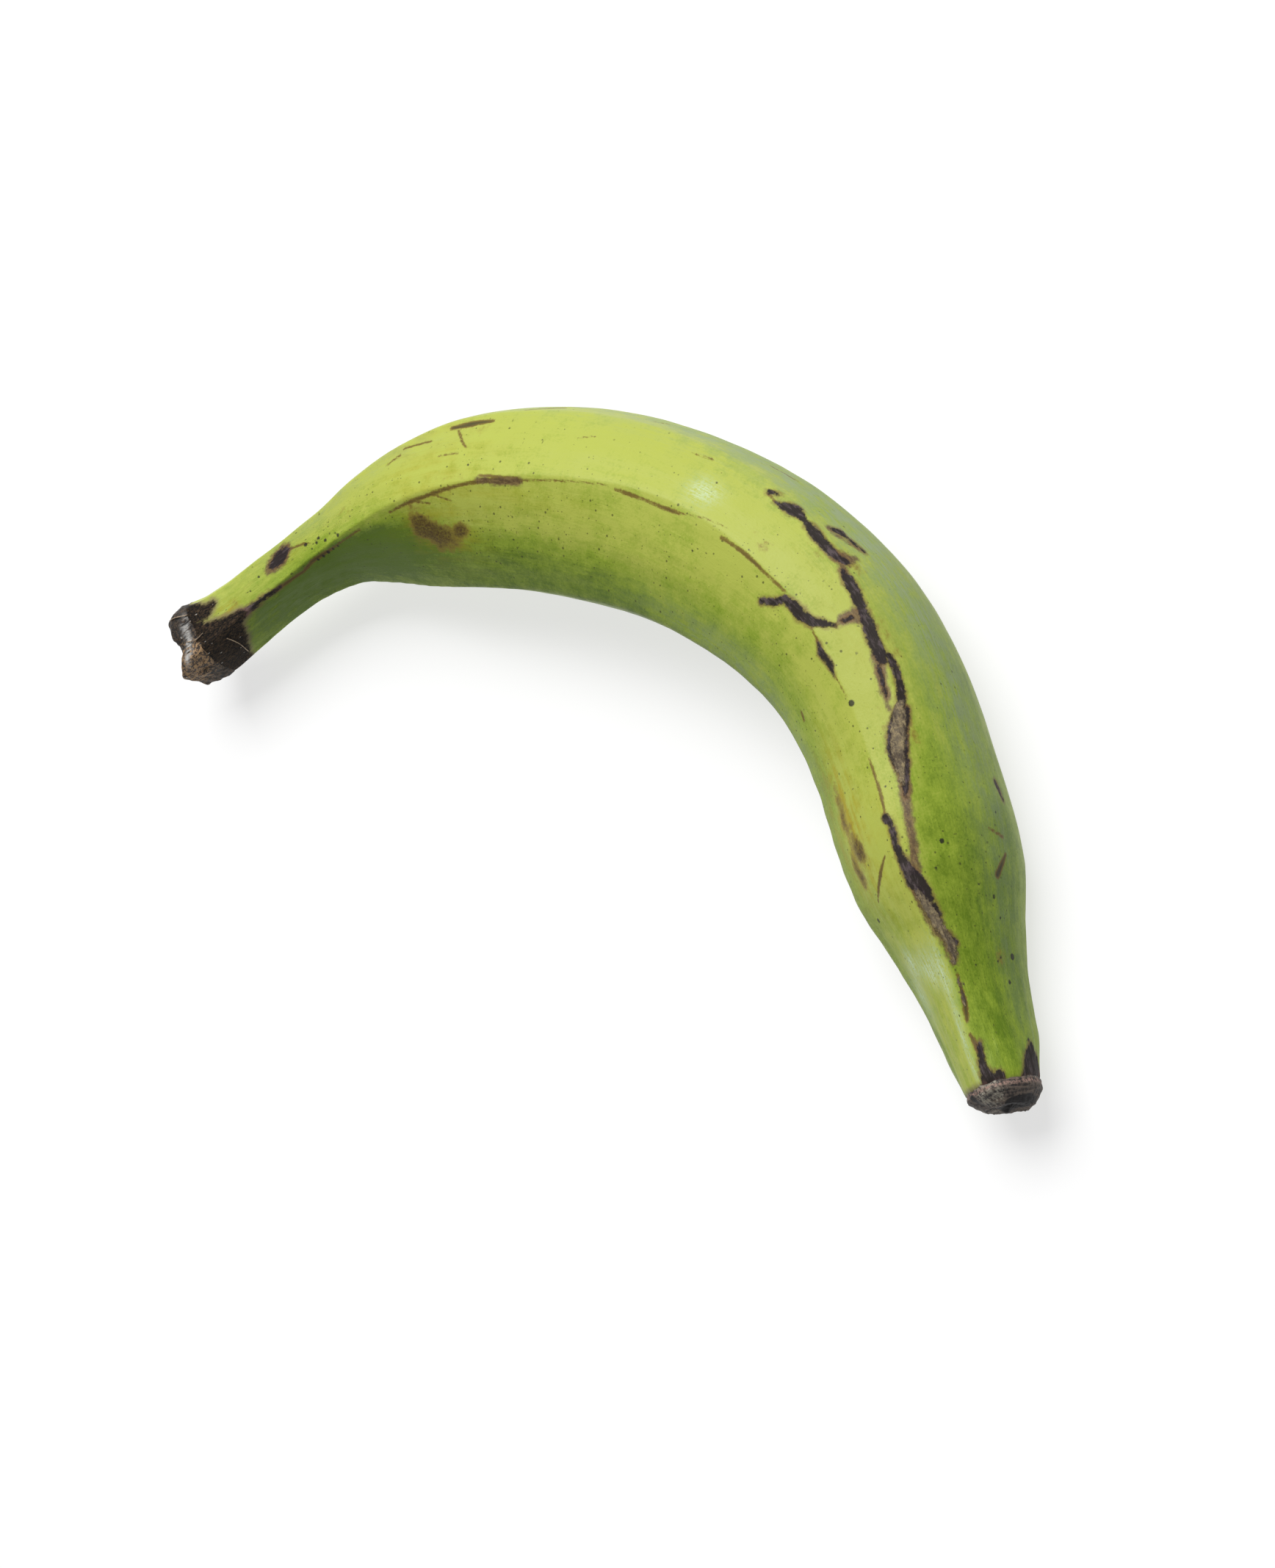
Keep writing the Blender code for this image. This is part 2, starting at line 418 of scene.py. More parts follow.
@dataclass(frozen=True)
class Stroke:
    """A mark drawn on the peel: rows of station, angle in degrees and half width in millimetres."""

    points: Table
    far_mm: float = 8.0

    def depth(self, at: Places) -> Array:
        """How deep inside the mark each place lies.

        Args:
            at: The places.

        Returns:
            The depth in millimetres, below zero outside the mark.
        """
        best = np.full(len(at.station), -1e3)
        rows = self.points if len(self.points) > 1 else self.points * 2
        for (s0, a0, w0), (s1, a1, w1) in zip(rows, rows[1:]):
            reach = self.far_mm / at.unit_mm + max(w0, w1)
            near = (at.station > min(s0, s1) - reach) & (at.station < max(s0, s1) + reach)
            scale = at.radius_mm[near]
            x = (at.station[near] - s0) * at.unit_mm
            y = turned(at.angle[near], radians(a0)) * scale
            dx = (s1 - s0) * at.unit_mm
            dy = radians(a1 - a0) * scale
            t = np.clip((x * dx + y * dy) / np.maximum(dx**2 + dy**2, 1e-6), 0, 1)
            away = np.hypot(x - t * dx, y - t * dy)
            best[near] = np.maximum(best[near], w0 + (w1 - w0) * t - away)
        return best


@dataclass(frozen=True)
class Spot:
    """A soft patch: station, angle in degrees, half length and half width in millimetres, strength."""

    station: float
    angle: float
    along: float
    across: float
    strength: float

    def amount(self, at: Places) -> Array:
        """How strong the patch is at each place, from 0 to its strength.

        Args:
            at: The places.

        Returns:
            The strength at each.
        """
        x = (at.station - self.station) * at.unit_mm / self.along
        y = turned(at.angle, radians(self.angle)) * at.radius_mm / self.across
        return self.strength * np.exp(-(x**2 + y**2))


def strokes(*rows: Table) -> tuple[Stroke, ...]:
    """Makes a stroke of each row of points."""
    return tuple(Stroke(row) for row in rows)


def pricks(*rows: tuple[float, ...]) -> tuple[Stroke, ...]:
    """Makes a stroke of a single point of each row."""
    return tuple(Stroke((row,)) for row in rows)


def spots(*rows: tuple[float, ...]) -> tuple[Spot, ...]:
    """Makes a soft patch of each row of values."""
    return tuple(Spot(*row) for row in rows)


def amounts(patches: tuple[Spot, ...], at: Places) -> Array:
    """Adds up soft patches at each place."""
    return sum(patch.amount(at) for patch in patches)


def field_of(marks: tuple[Stroke, ...], at: Places, reach_mm: float) -> Array:
    """A value from 0 to 1 that is a half on the marks' edges and rises inwards, within a reach."""
    depth = np.max([mark.depth(at) for mark in marks], axis=0)
    return np.clip(0.5 + depth / (2 * reach_mm), 0.0, 1.0)


@dataclass(frozen=True)
class PeelMarks:
    """Where the peel is scarred, stained and coloured."""

    scars: tuple[Stroke, ...] = strokes(
        ((198, 100, 0.7), (201, 95, 0.9), (203, 89, 0.8), (206, 88, 1.3), (209, 88, 1.4),
         (212, 86, 0.9), (214, 81, 0.8), (216, 76, 0.4)),
        ((217, 90, 0.35), (219, 92, 0.9), (222, 91, 0.8), (226, 92, 0.2)),
        ((181, 48, 0.6), (183, 46, 0.4)),
        ((184, 51, 0.3), (186, 50, 1.1), (188.5, 48, 1.6), (190.5, 48.5, 0.8), (192, 49, 0.5),
         (194.5, 50, 1.1), (197, 51, 1.3), (200, 51.5, 1.2), (203, 51, 1.0), (205, 49, 0.8)),
        ((196.6, 38, 0.8), (197.6, 35, 1.0), (199, 34, 0.5), (201, 33, 0.65), (203.5, 30.5, 0.4)),
        ((206.5, 54, 0.5), (209, 55, 1.2), (212, 56, 1.3), (216, 58, 1.1), (220, 60, 1.4),
         (224, 62, 1.5), (228, 62, 1.2)),
        ((228, 58, 0.9), (231, 57, 0.7), (234, 58, 0.9), (237, 60, 1.0), (239, 62, 0.7)),
        ((240, 59, 0.5), (244, 64, 0.5), (248, 68, 0.7), (252, 71, 0.8), (256, 73.5, 0.6)),
        ((239, 66, 0.3), (243, 73, 0.5), (248, 78, 0.6), (252, 77.5, 0.5)),
        ((252, 74, 0.5), (256, 74.5, 0.7), (260, 76, 0.4)),
        ((263, 92.5, 0.8), (265, 90, 0.6), (269, 91, 0.7), (273, 90.5, 0.9), (277, 88.5, 1.4),
         (279, 87, 1.9), (282, 84, 1.7), (284, 82, 1.0)),
        ((286, 80.5, 0.8), (288, 79.5, 0.7)), ((292.5, 78, 0.3), (295, 73, 0.6)),
        ((258, 356, 0.8), (262, 352, 0.6)), ((35, 88, 1.1), (37.5, 85, 1.8), (40, 80, 1.2)),
        ((216, 71, 0.4), (216.4, 66, 0.5)), ((229, 66, 0.5), (232, 67.5, 0.5), (236, 69, 0.3)),
        ((318.5, 84, 0.4), (321, 86, 0.7), (324, 88.5, 0.9), (326, 88, 1.4), (328.5, 86, 2.4)),
        ((327.0, 73, 1.2), (328.5, 80, 1.9)), ((321.5, 5, 1.0), (324.5, 11, 2.5), (328.5, 18, 3.5)),
        ((324.5, 356, 1.8), (328.5, 354, 3.0)),
        ((20, 121, 0.9), (25, 122, 0.8), (28, 122, 0.5), (32, 124, 0.5), (34, 124, 0.3)),
    )
    dots: tuple[Stroke, ...] = pricks(
        (300, 8, 0.8), (306, 20, 0.55), (158, 62, 0.3), (170, 60, 0.35), (174, 100, 0.35),
        (188, 82, 0.25), (206, 66, 0.3), (129, 106, 0.3), (146, 82, 0.25), (234, 90, 0.75),
        (224, 74, 0.35), (231, 73, 0.3), (256, 87, 0.3), (282, 147, 0.55), (272, 62, 0.6),
        (278, 71, 0.4), (286, 25, 0.5), (301, 60, 0.3), (320, 9, 0.5), (46.5, 93, 0.55), (51, 96, 0.5),
        (58, 107, 0.5), (50, 100, 0.45), (53, 104, 0.5), (57, 103, 0.3), (52, 119, 0.5),
        (50, 120.5, 0.45), (54, 118, 0.4), (48, 121, 0.4), (56, 117.5, 0.35), (30, 89, 0.35),
        (39, 118, 0.35), (190, 96, 0.3), (104, 83, 0.35), (102, 76, 0.25), (300, 27, 0.4),
        (301, 32, 0.35), (325, 67, 0.25), (276, 60, 0.3), (283, 40, 0.3), (291, 20, 0.35),
        (280, 95, 0.25), (212, 70, 0.25), (266, 8, 0.4), (269, 12, 0.35), (274, 45, 0.3), (64, 96, 0.3),
        (55, 100, 0.3), (41, 100, 0.3), (26, 100, 0.3), (120, 63, 0.2), (48, 104, 0.3),
    )
    threads: tuple[Stroke, ...] = strokes(
        ((78, 106, 0.25), (86, 102, 0.45), (92, 100, 0.5), (96, 98, 0.5), (104, 95, 0.4),
         (110, 93, 0.55), (115, 92.5, 0.8), (119.5, 92, 0.9), (121, 92, 0.4)),
        ((108, 90, 0.2), (115, 91, 0.5)), ((99, 95, 0.2), (99, 101, 0.2)),
        ((94, 100, 0.2), (97, 103, 0.25), (99, 104.5, 0.15)), ((88, 103, 0.25), (92, 105, 0.2)),
        ((120, 92, 0.25), (132, 89, 0.2), (146, 85, 0.1)),
        ((148, 86, 0.3), (152, 86, 0.5), (157, 86, 0.3), (162, 86, 0.5), (167, 85, 0.4)),
        ((167, 85, 0.15), (174, 81, 0.15), (180, 79, 0.1)),
        ((180, 85, 0.4), (188, 85, 0.5), (194, 86, 0.4), (202, 86, 0.3)),
        ((216, 77, 0.3), (216, 71, 0.4)),
        ((32, 124, 0.5), (36, 125, 0.45), (42, 125, 0.4), (46, 119, 0.5), (50, 118, 0.55),
         (54, 117, 0.35)),
        ((54, 117, 0.35), (60, 114, 0.2), (66, 111, 0.28)),
        ((41, 82, 0.3), (46, 90, 0.35), (48, 96, 0.15)), ((213, 88, 0.2), (217, 90, 0.3)),
        ((226, 92, 0.2), (232, 91, 0.1)), ((184, 51, 0.3), (181, 49, 0.3)),
        ((254, 75, 0.4), (262, 77.4, 0.5), (268, 79.2, 0.55), (275, 82.5, 0.6)),
        ((248, 92, 0.2), (256, 91, 0.4), (258, 91, 0.4), (263, 92, 0.2)),
        ((96, 54, 0.6), (101, 53, 0.9), (107, 52, 0.5)),
        ((98, 56, 0.3), (100, 65, 0.35), (102, 71, 0.2)), ((78, 69, 0.3), (82, 65, 0.35)),
        ((83, 61, 0.3), (91, 61, 0.3)), ((94, 74, 0.2), (100, 74, 0.3)),
        ((114, 43, 0.5), (122, 34, 0.5)), ((144, 30, 0.3), (147, 25, 0.3)),
        ((172, 23, 0.3), (180, 19, 0.4)), ((132, 61, 0.2), (136, 58, 0.2)),
        ((160, 49, 0.2), (165, 48, 0.3)), ((276, 5, 0.5), (281, 18, 1.0)),
        ((270, 20, 0.3), (272, 5, 0.5)), ((271, 103, 0.3), (275, 117, 0.6), (279, 132, 0.2)),
        ((226, 132, 0.4), (228.5, 134, 0.4)),
        ((302, 81, 0.3), (305, 82, 0.3), (308, 83, 0.6), (311, 86, 0.6), (313, 88, 0.4)),
        ((316, 90, 0.4), (320, 87, 0.7)),
    )
    bands: tuple[Stroke, ...] = strokes(
        ((227, 64, 1.3), (231, 67, 1.0), (235, 68.5, 0.9), (239, 70, 0.3)),
        ((216, 73, 0.5), (215.8, 70, 1.2), (216.5, 63, 1.5)),
        ((203, 51, 1.4), (204.5, 46, 1.0), (205, 41, 0.5)), ((205, 52, 0.6), (207, 54, 0.8)),
        ((195.5, 40, 0.5), (197.5, 41, 0.5), (200, 37.5, 0.4), (204, 31, 0.4)),
        ((240, 62, 1.5), (244, 68, 2.2), (250, 73, 2.0), (256, 75, 1.4), (262, 77, 1.0), (268, 79, 1.0),
         (272, 80.5, 1.0), (277, 84, 1.2)),
        ((282, 88, 1.1), (288, 85, 1.6), (294, 80, 1.2), (299, 80, 0.8)),
        ((108, 93, 0.4), (114, 93.5, 0.7), (120, 92.5, 0.9)),
        ((33.5, 90.5, 1.1), (35, 88, 1.9), (38, 84.5, 2.3), (40, 80, 1.8), (41, 77, 1.1)),
    )
    scabs: tuple[Stroke, ...] = strokes(
        ((238.5, 62, 0.8), (241, 65, 1.5), (245, 69.5, 1.8), (249, 73.5, 1.6), (253, 75, 1.0),
         (257, 76, 0.4)),
        ((282, 88, 0.6), (286, 85, 1.0), (290, 82, 1.1), (293, 79, 0.8), (296, 77, 0.9),
         (299, 80, 0.4)),
        ((303, 82, 0.35), (309, 84, 0.3)),
    )
    stains: tuple[Spot, ...] = spots(
        (86, 116, 2.6, 2.6, 0.95), (88, 123, 2.6, 2.6, 0.7), (92.5, 126, 2.8, 2.4, 0.7),
        (100, 124, 2.4, 2.4, 1.05), (95.5, 129, 3.4, 2.6, 0.4), (91, 136, 3.4, 2.4, 0.65),
        (85, 128, 3.0, 3.0, 0.35), (97, 137, 3.0, 2.0, 0.35), (91, 118, 5.0, 4.0, 0.3),
        (266.5, 127, 2.2, 1.7, 1.0), (270, 140, 3.6, 1.3, 0.8), (273, 137, 2.0, 1.2, 0.45),
        (265, 128, 8.0, 3.5, 0.46), (257, 135, 5.0, 1.5, 0.55), (250, 131, 5.0, 1.5, 0.35),
        (84, 30, 10.0, 3.0, 0.36), (190, 75, 4.0, 2.5, 0.38), (86, 103, 3.0, 1.6, 0.4),
        (206, 46, 4.0, 1.8, 0.55), (224, 52, 7.0, 1.6, 0.4), (200, 58, 6.0, 1.0, 0.35),
        (244, 60, 6.0, 1.6, 0.4), (244, 76, 6.0, 1.4, 0.4), (300, 26, 3.0, 2.5, 0.45),
        (20, 105, 3.0, 3.0, 0.35), (62, 86, 5.0, 3.0, 0.28), (100, 90, 8.0, 2.0, 0.3),
        (106, 58, 6.0, 2.0, 0.25),
    )
    rust: tuple[Spot, ...] = spots(
        (94, 124, 11.0, 9.0, 0.8), (262, 130, 18.0, 8.0, 1.2), (252, 124, 12.0, 5.0, 0.6),
        (18, 99, 3.0, 2.0, 1.6), (215, 70, 16.0, 5.0, 0.25), (270, 92, 14.0, 3.0, 0.3),
        (94, 78, 18.0, 9.0, 0.4), (84, 40, 16.0, 7.0, 0.5), (120, 100, 20.0, 4.0, 0.25),
        (42, 90, 6.0, 3.0, 0.3), (18, 128, 3.0, 2.5, 0.6),
    )
    # Pale waxy patches; the thin ones along the ridge near the tip are a painted highlight.
    bloom_and_highlight: tuple[Spot, ...] = spots(
        (169, 68, 3.6, 3.2, 1.1), (298, 111, 4.0, 2.6, 1.3), (295, 135, 3.5, 2.6, 1.2),
        (302, 152, 6.0, 2.8, 0.8), (299, 93, 6.0, 1.2, 0.8), (308, 98, 9.0, 1.0, 0.7),
        (321, 102, 8.0, 0.8, 0.9),
    )
    # Grey-green dusting near the outline, partly real and partly a painted sheen of grazing reflection.
    dust_and_sheen: tuple[Spot, ...] = spots(
        (150, 28, 40.0, 7.0, 0.55), (200, 20, 34.0, 9.0, 0.75), (245, 10, 36.0, 8.0, 0.4),
        (190, 146, 30.0, 5.0, 0.4), (222, 156, 26.0, 3.5, 0.5), (60, 60, 26.0, 4.0, 0.45),
        (108, 28, 24.0, 5.0, 0.45), (300, 14, 24.0, 4.0, 0.2), (34, 160, 20.0, 5.0, 0.3),
    )
    # The green off this strip along the top is darker, partly the peel's own colour and partly painted
    # shade on the faces turned from the light.
    strip_back: Table = (
        (0, 20), (60, 18), (130, 14), (165, 34), (200, 47), (235, 60), (265, 74), (295, 84), (333, 95),
    )
    strip_inside: Table = (
        (0, 130), (33, 123), (65, 112), (80, 112), (100, 126), (135, 126), (165, 120), (200, 114),
        (235, 122), (260, 142), (295, 156), (333, 158),
    )
    strip_softness: Table = ((0, 5), (70, 5), (90, 16), (120, 24), (180, 26), (250, 16), (333, 10))
    # Patches that darken the green, partly painted shade on the faces turned from the light; those below
    # zero lighten it.
    deep_green_and_shade: tuple[Spot, ...] = spots(
        (34, 150, 34.0, 9.0, 0.5), (60, 140, 22.0, 10.0, 0.5), (82, 132, 14.0, 8.0, 0.3),
        (118, 136, 30.0, 6.0, 0.2), (140, 158, 60.0, 7.0, 0.3), (270, 50, 22.0, 11.0, 0.1),
        (300, 44, 22.0, 9.0, 0.2), (316, 60, 14.0, 8.0, 0.1), (150, 96, 24.0, 3.0, 0.15),
        (28, 75, 12.0, 3.0, 0.1), (255, 5, 30.0, 9.0, 0.15), (290, 5, 24.0, 6.0, 0.3),
        (235, 45, 20.0, 9.0, -0.15), (300, 112, 22.0, 9.0, -0.1), (290, 140, 24.0, 8.0, 0.15),
        (282, 132, 10.0, 6.0, 0.3), (313, 126, 16.0, 7.0, 0.3), (110, 62, 26.0, 5.0, -0.15),
        (186, 66, 30.0, 6.0, -0.1),
    )
    specks: tuple[Spot, ...] = spots(
        (112, 128, 22.0, 6.0, 1.5), (110, 120, 34.0, 10.0, 1.0), (150, 115, 30.0, 10.0, 0.8),
        (48, 97, 9.0, 4.0, 1.0), (190, 80, 16.0, 8.0, 0.5), (230, 120, 30.0, 9.0, 0.5),
        (280, 40, 34.0, 12.0, 1.2), (66, 100, 12.0, 7.0, 0.6), (50, 116, 10.0, 2.0, 1.2),
        (64, 110, 8.0, 2.5, 1.0), (100, 50, 24.0, 8.0, 0.4), (180, 240, 160.0, 40.0, 0.6),
    )
    dry_ends: tuple[Stroke, ...] = strokes(
        ((2, 40, 5.0), (2, 80, 5.0)), ((7, 70, 3.5), (12, 80, 2.2), (15, 77, 1.0)),
        ((2, 100, 7.0), (4, 125, 8.5)), ((8, 110, 3.5), (14, 122, 3.0), (18, 122, 2.2), (21, 121, 1.2)),
        ((2, 150, 8.0), (3, 185, 8.0)), ((8, 130, 5.0), (14.5, 133, 4.0)),
        ((8, 148, 6.0), (12, 147, 5.2)), ((7, 166, 6.5), (9, 167, 6.0)), ((5, 190, 6.5), (7, 192, 6.2)),
        ((2, 220, 8.5), (2, 260, 8.0)), ((2, 300, 7.0), (2, 340, 6.0)), ((2, 360, 5.0), (2, 400, 4.0)),
        ((328.5, 100, 0.4), (328.5, 220, 0.6)), ((328, 220, 1.0), (328, 340, 1.0)),
        ((329, 20, 0.2), (329, 80, 0.2)),
    )

    def depth_of_green(self, at: Places) -> Array:
        """How dark the green is, partly the peel's own colour and partly painted shade on the faces turned
        from the light: 0 on the lighter strip along the top, a half off it, and more in places.

        Args:
            at: The places on the peel.

        Returns:
            The depth at each.
        """
        back = np.degrees(turned(at.angle, radians(90))) + 90
        soft = 2 * monotone(self.strip_softness, at.station)
        off_back = smoothstep((monotone(self.strip_back, at.station) - back) / soft + 0.5)
        off_inside = smoothstep((back - monotone(self.strip_inside, at.station)) / soft + 0.5)
        return 0.5 * np.maximum(off_back, off_inside) + amounts(self.deep_green_and_shade, at)


@dataclass
class Rolled:
    """A flat grid, with a place round and a place along for each vertex, to be rolled into a piece."""

    around: int
    along: int
    seam: float = 1e-6
    mesh: bmesh.types.BMesh = field(init=False)
    u: Array = field(init=False)
    v: Array = field(init=False)

    def __post_init__(self) -> None:
        """Makes the grid with its unrolled map. Both sides of the seam have the same place round."""
        self.mesh = bmesh.new()
        self.mesh.loops.layers.uv.new("unrolled")
        bmesh.ops.create_grid(
            self.mesh, x_segments=self.around, y_segments=self.along, size=0.5, calc_uvs=True
        )
        flat = np.clip(np.array([vert.co[:2] for vert in self.mesh.verts]) + 0.5, 0, 1)
        self.u = np.where(flat[:, 0] > 1 - self.seam, 0.0, flat[:, 0])
        self.v = flat[:, 1]

    def finish(self, name: str, places: Array, values: dict[Mark, Array], merge: float = 1e-7) -> Object:
        """Rolls the grid up, closes its seam and makes it an object.

        Args:
            name: The piece's name.
            places: Where each vertex goes, in metres.
            values: The attributes: one number or one row of three for each vertex.
            merge: How close two vertices are when they are made one.

        Returns:
            The piece.
        """
        verts = self.mesh.verts
        for vert, place in zip(verts, places):
            vert.co = place
        for mark, value in values.items():
            kind = verts.layers.float_vector if value.ndim == 2 else verts.layers.float
            layer = kind.new(mark.value)
            for vert, number in zip(verts, value.tolist()):
                vert[layer] = number
        bmesh.ops.remove_doubles(self.mesh, verts=verts, dist=merge)
        bmesh.ops.recalc_face_normals(self.mesh, faces=self.mesh.faces)
        return as_object(name, self.mesh)


@dataclass(frozen=True)
class Paint:
    """A colour as a screen shows it: red, green and blue from 0 to 255."""

    red: int
    green: int
    blue: int

    @property
    def rgba(self) -> tuple[float, ...]:
        """The colour as light, for a shader."""
        shown = [value / 255 for value in (self.red, self.green, self.blue)]
        return (*[c / 12.92 if c <= 0.04045 else ((c + 0.055) / 1.055) ** 2.4 for c in shown], 1.0)


Feed = NodeSocket | Paint | float | tuple[float, ...]


@dataclass(frozen=True)
class Edge:
    """How a mark ends: the field's level there, how soft and uneven it is, and the unevenness's scale."""

    level: float
    softness: float
    ragged: float
    scale: float


class Bench:
    """Places nodes in one tree and joins them, so that a finish reads as a recipe."""

    def __init__(self, tree: NodeTree) -> None:
        """Takes the tree to work in."""
        self.tree = tree

    def feed(self, socket: NodeSocket, value: Feed) -> None:
        """Joins another socket to this one, or sets it to a constant.

        Args:
            socket: The input.
            value: The socket or constant that goes in.
        """
        if isinstance(value, NodeSocket):
            self.tree.links.new(value, socket)
        else:
            socket.default_value = value.rgba if isinstance(value, Paint) else value

    def node(self, kind: str, inputs: dict[str | int, Feed], **settings: object) -> Node:
        """Adds a node.

        Args:
            kind: Its type, without the shader node's usual prefix.
            inputs: What goes into its inputs, by name or number.
            **settings: Its options.

        Returns:
            The node.
        """
        made = self.tree.nodes.new("ShaderNode" + kind)
        for name, value in settings.items():
            setattr(made, name, value)
        for key, value in inputs.items():
            self.feed(made.inputs[key], value)
        return made

    def math(self, operation: str, first: Feed, second: Feed, clamp: bool = False) -> NodeSocket:
        """One step of arithmetic."""
        return self.node("Math", {0: first, 1: second}, operation=operation, use_clamp=clamp).outputs[0]

    def add(self, *values: Feed) -> NodeSocket:
        """Adds up several values."""
        return reduce(lambda total, value: self.math("ADD", total, value), values)

    def times(self, first: Feed, second: Feed) -> NodeSocket:
        """Multiplies two values."""
        return self.math("MULTIPLY", first, second)

    def about(self, value: Feed, amount: float) -> NodeSocket:
        """Centres a noise on zero and scales it."""
        return self.times(self.math("SUBTRACT", value, 0.5), amount)

    def blend(self, amount: Feed, first: Feed, second: Feed) -> NodeSocket:
        """Mixes two colours."""
        inputs = {0: amount, 6: first, 7: second}
        return self.node("Mix", inputs, data_type="RGBA", clamp_factor=True).outputs[2]

    def between(self, amount: Feed, first: Feed, second: Feed) -> NodeSocket:
        """Mixes two values."""
        inputs = {0: amount, 2: first, 3: second}
        return self.node("Mix", inputs, data_type="FLOAT", clamp_factor=True).outputs[0]

    def step(self, value: Feed, low: Feed, high: Feed) -> NodeSocket:
        """Rises smoothly from 0 at low to 1 at high."""
        inputs = {"Value": value, "From Min": low, "From Max": high}
        return self.node("MapRange", inputs, interpolation_type="SMOOTHSTEP", clamp=True).outputs["Result"]

    def noise(
        self, vector: Feed, scale: Feed, detail: float = 2.0, roughness: float = 0.5, distortion: float = 0
    ) -> NodeSocket:
        """Noise from 0 to 1."""
        shape = {"Detail": detail, "Roughness": roughness, "Distortion": distortion}
        return self.node("TexNoise", {"Vector": vector, "Scale": scale, **shape}).outputs["Fac"]

    def stretched(self, vector: Feed, scale: tuple[float, float, float]) -> NodeSocket:
        """Scales a pattern's coordinates on each axis."""
        return self.node("Mapping", {"Vector": vector, "Scale": scale}).outputs["Vector"]

    def read(self, mark: Mark, output: str = "Fac") -> NodeSocket:
        """What the piece's vertices carry under a name."""
        return self.node("Attribute", {}, attribute_name=mark.value).outputs[output]

    def use(self, group: NodeTree, **inputs: Feed) -> NodeSocket:
        """Places a shared group, feeds its inputs by their names in small letters and gives its mask."""
        return self.use_all(group, **inputs)[0]

    def use_all(self, group: NodeTree, **inputs: Feed) -> NodeOutputs:
        """Places a shared group as use() does, and gives all its outputs."""
        named = {key.capitalize(): value for key, value in inputs.items()}
        return self.node("Group", named, node_tree=group).outputs


class GroupBench(Bench):
    """A bench in a new shader group, with the group's own sockets by name."""

    def __init__(self, name: str, inputs: dict[str, float], outputs: dict[str, str]) -> None:
        """Makes the group with its sockets.

        Args:
            name: The group's name.
            inputs: Each number's name and default, after the vector that every group takes.
            outputs: Each output's name and kind.
        """
        super().__init__(bpy.data.node_groups.new(name, "ShaderNodeTree"))
        new_socket = self.tree.interface.new_socket
        new_socket(name="Vector", in_out="INPUT", socket_type="NodeSocketVector")
        for key, default in inputs.items():
            new_socket(name=key, in_out="INPUT", socket_type="NodeSocketFloat").default_value = default
        for key, kind in outputs.items():
            new_socket(name=key, in_out="OUTPUT", socket_type="NodeSocket" + kind)
        self.given = {socket.name: socket for socket in self.tree.nodes.new("NodeGroupInput").outputs}
        self.out = {socket.name: socket for socket in self.tree.nodes.new("NodeGroupOutput").inputs}


